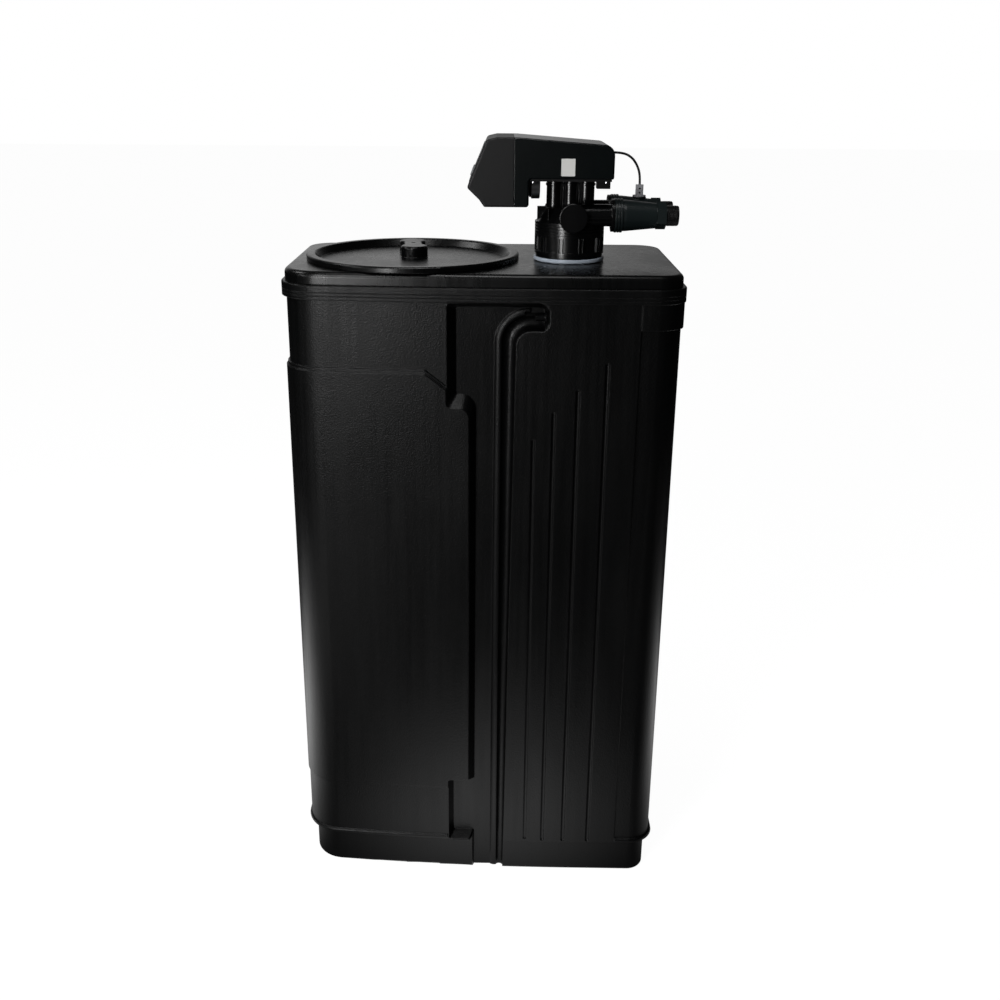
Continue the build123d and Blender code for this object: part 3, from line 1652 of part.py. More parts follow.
spring_height = piston_low - piston_floor - 2 * seat_gap - 2 * spring_wire
with BuildPart() as piston_springs:
    for place in cylinder_places:
        low = piston_floor + seat_gap + spring_wire
        with BuildLine() as coil:
            Helix(spring_height / spring_turns, spring_height, spring_radius, center=(place, valve_y, low))
        with BuildSketch(Plane(coil.line @ 0, z_dir=coil.line % 0)):
            Circle(spring_wire)
        sweep()
piston_springs.part.label = "piston_springs"
export_step(piston_springs.part, "parts/piston_springs.step")


# Drive: camshaft with three cams, its gear, the motor with its pinion, and the base that carries them
def involute(angle):
    """Involute function of an angle in radians."""
    return tan(angle) - angle


def gear_outline(teeth, middle):
    """Plan of an involute spur gear, with the middle of one tooth at an angle in degrees."""
    pitch = gear_module * teeth / 2
    base = pitch * cos(radians(pressure_angle))
    tip = pitch + gear_module
    root = pitch - gear_module * dedendum_share
    half = pi / (2 * teeth) - gear_backlash / (4 * pitch) + involute(radians(pressure_angle))

    def place(radius, tooth, side):
        """Point of a flank at one radius."""
        at_flank = half - involute(acos(min(1.0, base / radius)))
        angle = radians(middle) + 2 * pi * tooth / teeth + side * at_flank
        return (radius * cos(angle), radius * sin(angle))

    with BuildSketch() as outline:
        with BuildLine():
            for tooth in range(teeth):
                rise = [place(radius, tooth, -1) for radius in (max(base, root), (base + tip) / 2, tip)]
                fall = [place(radius, tooth, 1) for radius in (tip, (base + tip) / 2, max(base, root))]
                foot = [place(root, tooth, side) for side in (-1, 1)]
                after = place(root, tooth + 1, -1)
                if base > root:
                    Line(foot[0], rise[0])
                    Line(fall[2], foot[1])
                ThreePointArc(*rise)
                Line(rise[2], fall[0])
                ThreePointArc(*fall)
                Line(foot[1] if base > root else fall[2], after if base > root else place(root, tooth + 1, -1))
        make_face()
    return outline.sketch


def on_drive(x, z):
    """Plane across the drive's axis at one place along X, with its own X to the back."""
    return Plane((x, valve_y, z), x_dir=(0, 1, 0), z_dir=(1, 0, 0))


camshaft_start = valve_x + camshaft_low
camshaft_end = valve_x + camshaft_high
gear_start = valve_x + gear_low
gear_end = gear_start + gear_width


def cam_outline():
    """Cam with two notches, one facing down at rest."""
    inner = cam_radius - cam_notch
    with BuildSketch() as outline:
        Circle(cam_radius)
        for middle in (-90, 90):
            with BuildLine():
                sides = [
                    (radius * cos(radians(middle + angle)), radius * sin(radians(middle + angle)))
                    for radius, angle in (
                        (inner, -cam_floor_half),
                        (inner, 0),
                        (inner, cam_floor_half),
                        (cam_radius, cam_notch_half),
                        (cam_radius + overrun, cam_notch_half),
                        (cam_radius + overrun, -cam_notch_half),
                        (cam_radius, -cam_notch_half),
                    )
                ]
                ThreePointArc(*sides[:3])
                Polyline(*sides[2:], sides[0])
            make_face(mode=Mode.SUBTRACT)
    return outline.sketch


with BuildPart() as camshaft:
    with BuildSketch(on_drive(camshaft_start, cam_axis_z)):
        Circle(camshaft_radius)
    extrude(amount=camshaft_end - camshaft_start)
    for place in cylinder_places:
        with BuildSketch(on_drive(place - cam_width / 2, cam_axis_z)):
            add(cam_outline())
        extrude(amount=cam_width)
camshaft.part.label = "camshaft"
export_step(camshaft.part, "parts/camshaft.step")

with BuildPart() as cam_gear:
    with BuildSketch(on_drive(gear_start, cam_axis_z)):
        add(gear_outline(gear_teeth, -90))
        Circle(camshaft_radius + running_fit, mode=Mode.SUBTRACT)
    extrude(amount=gear_width)
    for start in (gear_start, gear_end):
        with BuildSketch(on_drive(start, cam_axis_z)):
            Circle(gear_module * gear_teeth / 2 - 3 * gear_module)
            Circle(2 * camshaft_radius, mode=Mode.SUBTRACT)
        extrude(amount=(gear_width - gear_web) / 2, both=True, mode=Mode.SUBTRACT)
cam_gear.part.label = "cam_gear"
export_step(cam_gear.part, "parts/cam_gear.step")

motor_start = valve_x + motor_low
bracket_start = valve_x + bracket_low
with BuildPart() as motor_pinion:
    with BuildSketch(on_drive(gear_start, motor_axis_z)):
        add(gear_outline(pinion_teeth, 90 + 180 / pinion_teeth))
    extrude(amount=gear_width)
    with BuildSketch(on_drive(gear_start, motor_axis_z)):
        Circle(motor_shaft)
    extrude(amount=motor_start + motor_length - motor_boss - gear_start)
motor_pinion.part.label = "motor_pinion"
export_step(motor_pinion.part, "parts/motor_pinion.step")

with BuildPart() as drive_motor:
    with BuildSketch(on_drive(motor_start, motor_axis_z)):
        Circle(motor_radius)
    extrude(amount=motor_length)
    fillet(drive_motor.edges().group_by(Axis.X)[-1], motor_edge)
    with BuildSketch(on_drive(bracket_start, motor_axis_z)):
        Circle(motor_boss - seat_gap)
    extrude(amount=motor_start - bracket_start)
    with BuildSketch(on_drive(bracket_start - overrun, motor_axis_z)):
        Circle(motor_shaft + running_fit)
    extrude(amount=motor_start + motor_length - motor_boss / 2 - bracket_start + overrun, mode=Mode.SUBTRACT)
drive_motor.part.label = "drive_motor"
export_step(drive_motor.part, "parts/drive_motor.step")


def bearing_plate(start, wall, half, foot):
    """Upright plate with a snap-in bearing for the camshaft."""
    with BuildPart() as plate:
        with BuildSketch(on_drive(start, cam_axis_z)):
            Rectangle(2 * half, cam_axis_z - foot, align=(Align.CENTER, Align.MAX))
            Circle(bearing_top)
            Circle(camshaft_radius + running_fit, mode=Mode.SUBTRACT)
            Rectangle(bearing_mouth, 2 * bearing_top, align=(Align.CENTER, Align.MIN), mode=Mode.SUBTRACT)
        extrude(amount=wall)
    return plate.part


base_low = cover_low - base_lift
base_high = base_low + base_plate
base_start = bracket_start
base_end = box_end - shell_wall - lift_gap
base_half = box_half - shell_wall - lift_gap
inlet_start = valve_x + inlet_block_low
screw_places = [
    (valve_x + screw_middle + side * screw_spread_x / 2, valve_y + way * screw_spread_y / 2)
    for side in (-1, 1)
    for way in (-1, 1)
]
with BuildPart() as drive_base:
    with BuildSketch(Plane((base_start, valve_y, base_low))):
        Rectangle(base_end - base_start, 2 * base_half, align=(Align.MIN, Align.CENTER))
    extrude(amount=base_plate)
    add(bearing_plate(bracket_start, bracket_wall, bracket_half, bracket_foot))
    post_start = valve_x + bearing_post_low
    add(bearing_plate(post_start, bearing_post_wall, bearing_post_half, base_low))
    with BuildSketch(Plane((inlet_start, valve_y, base_low))):
        Rectangle(inlet_block_length, 2 * inlet_block_half, align=(Align.MIN, Align.CENTER))
    extrude(amount=-inlet_block_drop)
    window_end = motor_start + motor_length + motor_window
    with BuildSketch(Plane((motor_start - motor_window / 4, valve_y, base_low - overrun))):
        Rectangle(
            window_end - motor_start,
            2 * (motor_radius + motor_window),
            align=(Align.MIN, Align.CENTER),
        )
    extrude(amount=base_plate + 2 * overrun, mode=Mode.SUBTRACT)
    with BuildSketch(on_drive(bracket_start - overrun, motor_axis_z)):
        Circle(motor_boss)
    extrude(amount=bracket_wall + 2 * overrun, mode=Mode.SUBTRACT)
    with BuildSketch(Plane((0, valve_y, base_low - overrun))):
        with Locations(*[(place, 0) for place in cylinder_places]):
            Circle(stem_radius + running_fit)
    extrude(amount=base_plate + 2 * overrun, mode=Mode.SUBTRACT)
    with BuildSketch(Plane.XY.offset(base_low - overrun)):
        with Locations(*screw_places):
            Circle(screw_shank + running_fit)
    extrude(amount=base_plate + 2 * overrun, mode=Mode.SUBTRACT)
    with BuildSketch(on_drive(inlet_start + inlet_block_length, base_low - inlet_block_drop / 2)):
        Circle(inlet_socket)
        Circle(inlet_socket / 3, mode=Mode.SUBTRACT)
    extrude(amount=-inlet_socket_depth, mode=Mode.SUBTRACT)
drive_base.part.label = "drive_base"
export_step(drive_base.part, "parts/drive_base.step")


# Controller: both shells are cut from one form
def box_profile(inset):
    """Side view of the controller, moved in from its outline by the inset."""
    places = [
        (sole_start, box_low, sole_round),
        (chin_x, chin_z, chin_round),
        (nose_x, nose_z, nose_round),
        (brow_x, brow_z, brow_round),
        (crown_x, box_top, brow_round),
        (cover_kink, box_top, 0.0),
        (cover_end, cover_end_z, end_round),
        (cover_end, cover_low, box_edge),
        (leg_end, cover_low, foot_round),
        (leg_end, box_low, foot_round),
    ]
    with BuildSketch() as outline:
        with BuildLine():
            FilletPolyline(
                *[(valve_x + x, z) for x, z, radius in places],
                radius=[radius for x, z, radius in places],
                close=True,
            )
        make_face()
        if inset:
            offset(amount=-inset)
    return outline.sketch


def box_form(inset):
    """The controller's whole form, moved in all round by the inset."""
    with BuildPart() as form:
        with BuildSketch(Plane.XZ.offset(inset - valve_y - box_half)):
            add(box_profile(inset))
        extrude(amount=2 * (box_half - inset))
        if not inset:
            fillet(form.faces().filter_by(Axis.Y).edges(), box_edge)
    return form.part


def slab_x(low, high):
    """Everything between two places along X."""
    with BuildPart() as slab:
        with BuildSketch(Plane((low, 0, (box_low + box_top) / 2), x_dir=(0, 1, 0), z_dir=(1, 0, 0))):
            Rectangle(far, far)
        extrude(amount=high - low)
    return slab.part


nose = Vector(valve_x + nose_x, valve_y, nose_z)
brow = Vector(valve_x + brow_x, valve_y, brow_z)
slant = (brow - nose).normalized()
panel_normal = Vector(-slant.Z, 0, slant.X)
split_x = valve_x + box_split


def on_panel(depth):
    """Plane on the slanted face, at a depth behind the control panel's own face."""
    middle = (nose + brow) / 2 + panel_normal * (panel_proud - depth)
    return Plane(middle, x_dir=(0, -1, 0), z_dir=panel_normal)


outer_box = box_form(0.0)
inner_box = box_form(shell_wall)
panel_thick = panel_sink + panel_proud
button_places = [((i - (button_count - 1) / 2) * button_pitch, -button_drop) for i in range(button_count)]
post_places = [(side * post_spread, way * post_height) for side in (-1, 1) for way in (-1, 1)]


def screw_columns():
    """Columns under the controller's roof that take the cover screws."""
    with BuildPart() as columns:
        with BuildSketch(Plane.XY.offset(base_high + seat_gap)):
            with Locations(*screw_places):
                Circle(screw_boss)
        extrude(amount=box_top - base_high)
        add(outer_box, mode=Mode.INTERSECT)
    return columns.part


with BuildPart() as panel_housing:
    add(outer_box)
    add(slab_x(-far, split_x), mode=Mode.INTERSECT)
    add(inner_box, mode=Mode.SUBTRACT)
    with BuildSketch(on_panel(panel_thick)):
        RectangleRounded(panel_width + 2 * seat_gap, panel_height + 2 * seat_gap, panel_corner)
    extrude(amount=panel_thick + overrun, mode=Mode.SUBTRACT)
    with BuildSketch(on_panel(panel_thick)):
        Rectangle(panel_opening_width, panel_opening_height)
    extrude(amount=-2 * shell_wall, mode=Mode.SUBTRACT)
    with BuildSketch(on_panel(board_depth)):
        with Locations(*post_places):
            Circle(post_radius)
    extrude(amount=board_depth - panel_thick)
panel_housing.part.label = "panel_housing"
export_step(panel_housing.part, "parts/panel_housing.step")

with BuildPart() as controller_cover:
    add(outer_box)
    add(slab_x(split_x + seat_gap, far), mode=Mode.INTERSECT)
    add(inner_box, mode=Mode.SUBTRACT)
    leg_face = valve_x + leg_end
    with BuildSketch(Plane((leg_face, valve_y, cover_low - overrun))):
        Rectangle(base_end + lift_gap - leg_face, 2 * (box_half - shell_wall), align=(Align.MIN, Align.CENTER))
    extrude(amount=shell_wall + overrun + foot_round, mode=Mode.SUBTRACT)
    with BuildSketch(on_drive(leg_face - shell_wall - overrun, motor_axis_z)):
        Circle(motor_shaft + motor_slot_play)
        Rectangle(
            2 * (motor_shaft + motor_slot_play),
            motor_axis_z - box_low + overrun,
            align=(Align.CENTER, Align.MAX),
        )
    extrude(amount=shell_wall + 2 * overrun, mode=Mode.SUBTRACT)
    add(screw_columns())
    with BuildSketch(Plane.XY.offset(base_high)):
        with Locations(*screw_places):
            Circle(screw_shank + running_fit)
    extrude(amount=screw_length, mode=Mode.SUBTRACT)
    add(
        tube_x(box_end - shell_wall - overrun, shell_wall + 2 * overrun, grommet_neck + running_fit, outlet_y, lead_exit_z),
        mode=Mode.SUBTRACT,
    )
controller_cover.part.label = "controller_cover"
export_step(controller_cover.part, "parts/controller_cover.step")

with BuildPart() as cover_screws:
    with BuildSketch(Plane.XY.offset(base_low - seat_gap)):
        with Locations(*screw_places):
            Circle(screw_head)
    extrude(amount=-screw_head_height)
    with BuildSketch(Plane.XY.offset(base_low - seat_gap)):
        with Locations(*screw_places):
            Circle(screw_shank)
    extrude(amount=screw_length)
cover_screws.part.label = "cover_screws"
export_step(cover_screws.part, "parts/cover_screws.step")

# Control panel with its display window and buttons
with BuildPart() as control_panel:
    with BuildSketch(on_panel(panel_thick)):
        RectangleRounded(panel_width, panel_height, panel_corner)
        with Locations(*button_places):
            Circle(button_radius + button_play, mode=Mode.SUBTRACT)
    extrude(amount=panel_thick)
    with BuildSketch(on_panel(window_thick)):
        with Locations((0, window_rise)):
            RectangleRounded(window_width + 2 * seat_gap, window_height + 2 * seat_gap, window_corner)
    extrude(amount=window_thick + overrun, mode=Mode.SUBTRACT)
    with BuildSketch(on_panel(panel_thick)):
        with Locations((0, window_rise)):
            Rectangle(window_width - 2 * window_border, window_height - 2 * window_border)
    extrude(amount=panel_thick, mode=Mode.SUBTRACT)
control_panel.part.label = "control_panel"
export_step(control_panel.part, "parts/control_panel.step")

with BuildPart() as display_window:
    with BuildSketch(on_panel(window_thick)):
        with Locations((0, window_rise)):
            RectangleRounded(window_width, window_height, window_corner)
    extrude(amount=window_thick)
display_window.part.label = "display_window"
export_step(display_window.part, "parts/display_window.step")

for name, place in zip(button_names, button_places):
    with BuildPart() as button:
        with BuildSketch(on_panel(button_length - button_proud)):
            with Locations(place):
                Circle(button_radius)
        extrude(amount=button_length)
        fillet(button.faces().sort_by(Axis(on_panel(0).origin, panel_normal))[-1].edges(), button_edge)
        with BuildSketch(on_panel(panel_thick + lift_gap + button_flange_height)):
            with Locations(place):
                Circle(button_flange)
        extrude(amount=button_flange_height)
    button.part.label = name
    export_step(button.part, "parts/" + name + ".step")

with BuildPart() as circuit_board:
    with BuildSketch(on_panel(board_depth + board_thick + seat_gap)):
        with Locations((0, board_rise)):
            Rectangle(board_width, board_height)
    extrude(amount=board_thick)
    with BuildSketch(on_panel(board_depth + seat_gap)):
        with Locations((0, window_rise)):
            Rectangle(display_width, display_height)
    extrude(amount=display_thick)
    with BuildSketch(on_panel(board_depth + seat_gap)):
        with Locations(*button_places):
            Circle(switch_radius)
    extrude(amount=switch_height)
circuit_board.part.label = "circuit_board"
export_step(circuit_board.part, "parts/circuit_board.step")
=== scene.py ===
import json
import math

import bmesh
import bpy
from mathutils import Matrix, Vector


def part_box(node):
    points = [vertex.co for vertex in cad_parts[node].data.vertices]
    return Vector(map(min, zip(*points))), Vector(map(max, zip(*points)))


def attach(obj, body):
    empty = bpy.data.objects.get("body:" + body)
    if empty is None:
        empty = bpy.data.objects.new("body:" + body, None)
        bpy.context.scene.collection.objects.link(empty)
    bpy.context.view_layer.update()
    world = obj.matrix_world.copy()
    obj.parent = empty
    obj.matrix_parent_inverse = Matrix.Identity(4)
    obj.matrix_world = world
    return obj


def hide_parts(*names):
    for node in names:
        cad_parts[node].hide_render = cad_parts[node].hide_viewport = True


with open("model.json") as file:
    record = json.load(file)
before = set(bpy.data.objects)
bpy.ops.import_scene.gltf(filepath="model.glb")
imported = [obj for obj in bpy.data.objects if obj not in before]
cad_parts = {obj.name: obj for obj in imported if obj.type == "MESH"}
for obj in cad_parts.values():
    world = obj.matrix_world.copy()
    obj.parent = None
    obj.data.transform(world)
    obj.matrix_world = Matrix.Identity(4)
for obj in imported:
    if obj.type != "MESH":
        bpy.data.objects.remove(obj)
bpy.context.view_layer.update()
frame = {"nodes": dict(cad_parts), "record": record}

# Cabinet water softener, dressed. Angles are in degrees. Lengths of the camera, the floor and the lamps are
# in metres, and those of the pieces in millimetres, which MM turns into metres.
MM = 0.001
QUARTER_TURN = math.radians(90)
ARC_STEPS = 6  # in a quarter turn of a rounded corner or end
WHITE = (1.0, 1.0, 1.0, 1.0)

# Camera
PHOTO_PIXELS = 1000
FOCAL_PIXELS = 1144.4
CENTRE_COLUMN = 481.4
SENSOR_MM = 36.0
CAMERA_DISTANCE = 1.6187
CAMERA_HEIGHT = 1.1527
CAMERA_PITCH = 20.207
CAMERA_TURN = 0.8
CAMERA_ROLL = 0.33

# Floor
FLOOR_SIZE = 40.0
FLOOR_GAP = 0.0004
FLOOR_COLOUR = 0.12
FLOOR_SEEN = 0.975
# bright patches, which only reflections show: middle along X and Y, radius, level
FLOOR_GLOWS = (
    (0.0, -0.35, 0.35, 2.1),
    (-0.8, 0.0, 0.6, 3.6),
    (0.8, 0.0, 0.6, 2.0),
    (-0.8, -0.9, 0.6, 1.1),
    (0.0, 0.65, 0.6, 3.0),
)

# Sky, which has its bright part low behind the object
SKY_AIM = (-0.2, 0.96, 0.2)
SKY_SHARPNESS = 14.0
SKY_LEVEL = 0.72
SKY_FILL = 0.02

# Lamps, all aimed at one point: name, azimuth from the front towards +X, elevation, size, power
LAMP_TARGET = (0.0, -0.15, 0.75)
LAMP_DISTANCE = 2.4
LAMPS = (
    ("lamp_key", -27.0, 2.0, 0.5, 22.0),
    ("lamp_high", -27.0, 32.0, 0.5, 13.0),
    ("lamp_side", -62.0, 14.0, 0.5, 5.5),
    ("lamp_left", -97.0, 44.0, 0.6, 9.0),
    ("lamp_top", -12.0, 74.0, 0.8, 14.0),
)

# Sensor lead, whose points follow the part's source
LEAD_Y = 18.4 * MM
LEAD_RADIUS = 1.6 * MM
LEAD_ORDER = 3
LEAD_STEPS = 16  # from one point to the next
LEAD_ROUNDNESS = 6
# along X and Z
LEAD_POINTS = (
    (175.5, 1059.2),
    (190.5, 1059.2),
    (203.5, 1053.0),
    (211.8, 1041.5),
    (215.8, 1028.5),
    (215.8, 1016.9),
)

# Noises that all the materials share, in features per metre
MOTTLE = dict(scale=14.0, detail=5.0)
SMEAR = dict(scale=9.0, detail=6.0, roughness=0.6, stretch=(1.0, 1.0, 0.35))
STREAK_LINES = dict(scale=120.0, detail=3.0, roughness=0.6, stretch=(1.0, 1.0, 0.03))
WAVE_SCALE = 6.0
BUMP_DETAIL = 2.0
NOISE_LOW = 0.3  # the range of a noise in which its look changes
NOISE_HIGH = 0.7
GLOSSY_SHARE = 0.88  # of a material's roughness, where it shines most and least
DULL_SHARE = 1.14
BEVEL_SAMPLES = 6

# Materials by slot. Grain is in features per metre, and grain_depth, waves and edge are in millimetres
MATERIALS = {
    "cabinet_plastic": dict(colour=(0.0011, 0.0012, 0.0013), roughness=0.36, grain=520.0, grain_depth=0.3,
                            waves=1.0, uneven=0.2, edge=2.0, specular=0.22, streaks=0.1),
    "cover_plastic": dict(colour=(0.0011, 0.0012, 0.0013), roughness=0.28, grain=900.0, grain_depth=0.03,
                          waves=0.8, uneven=0.2, edge=1.8, specular=0.3, streaks=0.06),
    "vessel_plastic": dict(colour=(0.46, 0.52, 0.6), roughness=0.35, grain=700.0, grain_depth=0.05),
    "pipe_plastic": dict(colour=(0.62, 0.62, 0.6), roughness=0.4, grain=800.0, grain_depth=0.04),
    "valve_plastic": dict(colour=(0.0018, 0.0019, 0.0021), roughness=0.23, grain=1100.0, grain_depth=0.03,
                          waves=0.3, edge=0.5, specular=0.4),
    "connector_plastic": dict(colour=(0.0065, 0.0105, 0.011), roughness=0.34, grain=1300.0,
                              grain_depth=0.05, waves=0.2, edge=0.5, specular=0.45),
    "nozzle_plastic": dict(colour=(0.0025, 0.0026, 0.0028), roughness=0.42, grain=1300.0, grain_depth=0.05,
                           edge=0.4, specular=0.3),
    "controller_plastic": dict(colour=(0.0018, 0.0030, 0.0032), roughness=0.24, grain=1300.0,
                               grain_depth=0.04, waves=0.4, edge=1.2, specular=0.42),
    "housing_plastic": dict(colour=(0.0045, 0.0045, 0.0048), roughness=0.42, grain=1100.0, grain_depth=0.08,
                            waves=0.4, edge=1.5, specular=0.32),
    "panel_plastic": dict(colour=(0.02, 0.021, 0.023), roughness=0.45, grain=1800.0, grain_depth=0.03),
    "window_plastic": dict(colour=(0.01, 0.02, 0.03), roughness=0.1, grain=1200.0, grain_depth=0.0,
                           coat=0.6),
    "button_plastic": dict(colour=(0.22, 0.23, 0.24), roughness=0.45, grain=1500.0, grain_depth=0.04),
    "inner_plastic": dict(colour=(0.6, 0.59, 0.54), roughness=0.4, grain=1200.0, grain_depth=0.04),
    "rubber": dict(colour=(0.006, 0.006, 0.0065), roughness=0.5, grain=2000.0, grain_depth=0.05),
    "steel": dict(colour=(0.5, 0.5, 0.52), roughness=0.3, grain=1500.0, grain_depth=0.02, metal=1.0),
    "board": dict(colour=(0.015, 0.12, 0.05), roughness=0.4, grain=1500.0, grain_depth=0.03, uneven=0.3),
    "probe_plastic": dict(colour=(0.42, 0.42, 0.44), roughness=0.42, grain=1500.0, grain_depth=0.04),
}
# The drive base shows under the controller and is drawn dark there, unlike the other pieces of its slot
DARK_NODES = {"drive_base": "nozzle_plastic"}

# Blank label on the controller's front
LABEL_LOW = (102.5, 1034.0)
LABEL_SIZE = (18.2, 22.0)
LABEL_THICK = 0.15
LABEL_CORNER = 0.8
LABEL_LOOK = dict(colour=(0.78, 0.78, 0.75), roughness=0.42, grain=2200.0, grain_depth=0.02, uneven=0.03,
                  edge=0.1)

# Pipe threads of the two nozzles
PIPE_Z = 981.5
INLET_Y = -41.6
OUTLET_Y = 18.4
THREAD_PITCH = 1.8
THREAD_HEIGHT = 0.45
THREAD_SUNK = 0.1  # how deep the ridge's feet stand in the nozzle
THREAD_HALF_WIDTH = 0.45  # as a share of the pitch
THREAD_RUN_OUT = 0.5  # turns in which the ridge rises at its start and sinks at its end
THREAD_RADIUS = 13.2
THREAD_START = 247.2
THREAD_END = 260.0
THREAD_STEPS = 48  # in one turn

# Lower line of the bead where it crosses the cabinet's foot notch
BAR_START = -36.5
BAR_END = -15.0
BAR_Y = -141.2
BAR_Z = 50.6
BAR_RADIUS = 2.4
BAR_SIDES = 24

# Contact screws of the meter's probe, counted down from the top of its tab
TAB_X = 215.8
TAB_TOP = 1016.9
TAB_DEPTH = 5.5
DOT_DROPS = (5.2, 10.6)
DOT_RADIUS = 1.3
DOT_FRONT = 0.8  # its front's share of the radius
DOT_DEPTH = 0.3
DOT_SIDES = 32


def link(obj):
    bpy.context.scene.collection.objects.link(obj)
    return obj


def make_camera():
    """Camera at the photograph's place, with its frame."""
    data = bpy.data.cameras.new("camera")
    data.sensor_width = SENSOR_MM
    data.lens = FOCAL_PIXELS * SENSOR_MM / PHOTO_PIXELS
    data.shift_x = (PHOTO_PIXELS / 2 - CENTRE_COLUMN) / PHOTO_PIXELS
    camera = link(bpy.data.objects.new("camera", data))
    turn = math.radians(CAMERA_TURN)
    place = Vector((math.sin(turn) * CAMERA_DISTANCE, -math.cos(turn) * CAMERA_DISTANCE, CAMERA_HEIGHT))
    aim = Matrix.Rotation(turn, 4, "Z") @ Matrix.Rotation(math.radians(90 - CAMERA_PITCH), 4, "X")
    roll = Matrix.Rotation(math.radians(CAMERA_ROLL), 4, "Z")
    camera.matrix_world = Matrix.Translation(place) @ aim @ roll
    bpy.context.scene.camera = camera


def make_lead():
    """The meter's short lead, from the controller's grommet down to the probe."""
    curve = bpy.data.curves.new("sensor_lead_flex", "CURVE")
    curve.dimensions = "3D"
    curve.resolution_u = LEAD_STEPS
    curve.bevel_depth = 1.0  # the points' own radius sets the thickness, and so the piece's bounds
    curve.bevel_resolution = LEAD_ROUNDNESS
    spline = curve.splines.new("NURBS")
    spline.points.add(len(LEAD_POINTS) - 1)
    for point, (x, z) in zip(spline.points, LEAD_POINTS):
        point.co = (x * MM, LEAD_Y, z * MM, 1.0)
        point.radius = LEAD_RADIUS
    spline.order_u = LEAD_ORDER
    spline.use_endpoint_u = True
    lead = link(bpy.data.objects.new("sensor_lead_flex", curve))
    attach(lead, "softener")
    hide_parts("sensor_lead")
    return lead


def arithmetic(tree, operation, a, b):
    node = tree.nodes.new("ShaderNodeMath")
    node.operation = operation
    for socket, value in zip(node.inputs, (a, b)):
        if isinstance(value, (int, float)):
            socket.default_value = value
        else:
            tree.links.new(value, socket)
    return node.outputs[0]


def seen(tree, path):
    """One on rays from the camera, also through clear pieces, and zero on all others."""
    return arithmetic(tree, "MAXIMUM", path.outputs["Is Camera Ray"], path.outputs["Is Transmission Ray"])


def make_floor():
    """Grey floor that takes the object's shadow, with a glow that makes it white to the camera.

    In reflections it glows in patches instead.
    """
    mesh = bpy.data.meshes.new("floor")
    half = FLOOR_SIZE / 2
    corners = [(-half, -half), (half, -half), (half, half), (-half, half)]
    mesh.from_pydata([(x, y, -FLOOR_GAP) for x, y in corners], [], [(0, 1, 2, 3)])
    floor = link(bpy.data.objects.new("floor", mesh))
    material = bpy.data.materials.new("floor_white")
    material.use_nodes = True
    tree = material.node_tree
    tree.nodes.clear()
    out = tree.nodes.new("ShaderNodeOutputMaterial")
    diffuse = tree.nodes.new("ShaderNodeBsdfDiffuse")
    diffuse.inputs["Color"].default_value = (FLOOR_COLOUR,) * 3 + (1.0,)
    glow = tree.nodes.new("ShaderNodeEmission")
    path = tree.nodes.new("ShaderNodeLightPath")
    place = tree.nodes.new("ShaderNodeNewGeometry")
    patches = 0.0
    for x, y, radius, level in FLOOR_GLOWS:
        away = tree.nodes.new("ShaderNodeVectorMath")
        away.operation = "DISTANCE"
        away.inputs[1].default_value = (x, y, 0.0)
        tree.links.new(place.outputs["Position"], away.inputs[0])
        fade = tree.nodes.new("ShaderNodeMapRange")
        fade.interpolation_type = "SMOOTHSTEP"
        fade.inputs["From Max"].default_value = radius
        fade.inputs["To Min"].default_value = level
        fade.inputs["To Max"].default_value = 0.0
        tree.links.new(away.outputs["Value"], fade.inputs["Value"])
        patches = arithmetic(tree, "ADD", fade.outputs[0], patches)
    mirrored = arithmetic(tree, "MULTIPLY", patches, path.outputs["Is Glossy Ray"])
    direct = arithmetic(tree, "MULTIPLY", seen(tree, path), FLOOR_SEEN)
    tree.links.new(arithmetic(tree, "MAXIMUM", direct, mirrored), glow.inputs["Strength"])
    both = tree.nodes.new("ShaderNodeAddShader")
    tree.links.new(diffuse.outputs[0], both.inputs[0])
    tree.links.new(glow.outputs[0], both.inputs[1])
    tree.links.new(both.outputs[0], out.inputs["Surface"])
    mesh.materials.append(material)


def make_world():
    """White to the camera, and to the object a dark studio with a bright part low behind it."""
    world = bpy.data.worlds.new("studio")
    bpy.context.scene.world = world
    world.use_nodes = True
    tree = world.node_tree
    tree.nodes.clear()
    out = tree.nodes.new("ShaderNodeOutputWorld")
    place = tree.nodes.new("ShaderNodeTexCoord")
    along = tree.nodes.new("ShaderNodeVectorMath")
    along.operation = "DOT_PRODUCT"
    along.inputs[1].default_value = SKY_AIM
    tree.links.new(place.outputs["Generated"], along.inputs[0])
    ahead = arithmetic(tree, "MAXIMUM", along.outputs["Value"], 0.0)
    lobe = arithmetic(tree, "POWER", ahead, SKY_SHARPNESS)
    level = arithmetic(tree, "ADD", arithmetic(tree, "MULTIPLY", lobe, SKY_LEVEL), SKY_FILL)
    studio = tree.nodes.new("ShaderNodeBackground")
    tree.links.new(level, studio.inputs["Strength"])
    white = tree.nodes.new("ShaderNodeBackground")
    for node in (studio, white):
        node.inputs["Color"].default_value = WHITE
    path = tree.nodes.new("ShaderNodeLightPath")
    mix = tree.nodes.new("ShaderNodeMixShader")
    tree.links.new(seen(tree, path), mix.inputs[0])
    tree.links.new(studio.outputs[0], mix.inputs[1])
    tree.links.new(white.outputs[0], mix.inputs[2])
    tree.links.new(mix.outputs[0], out.inputs["Surface"])


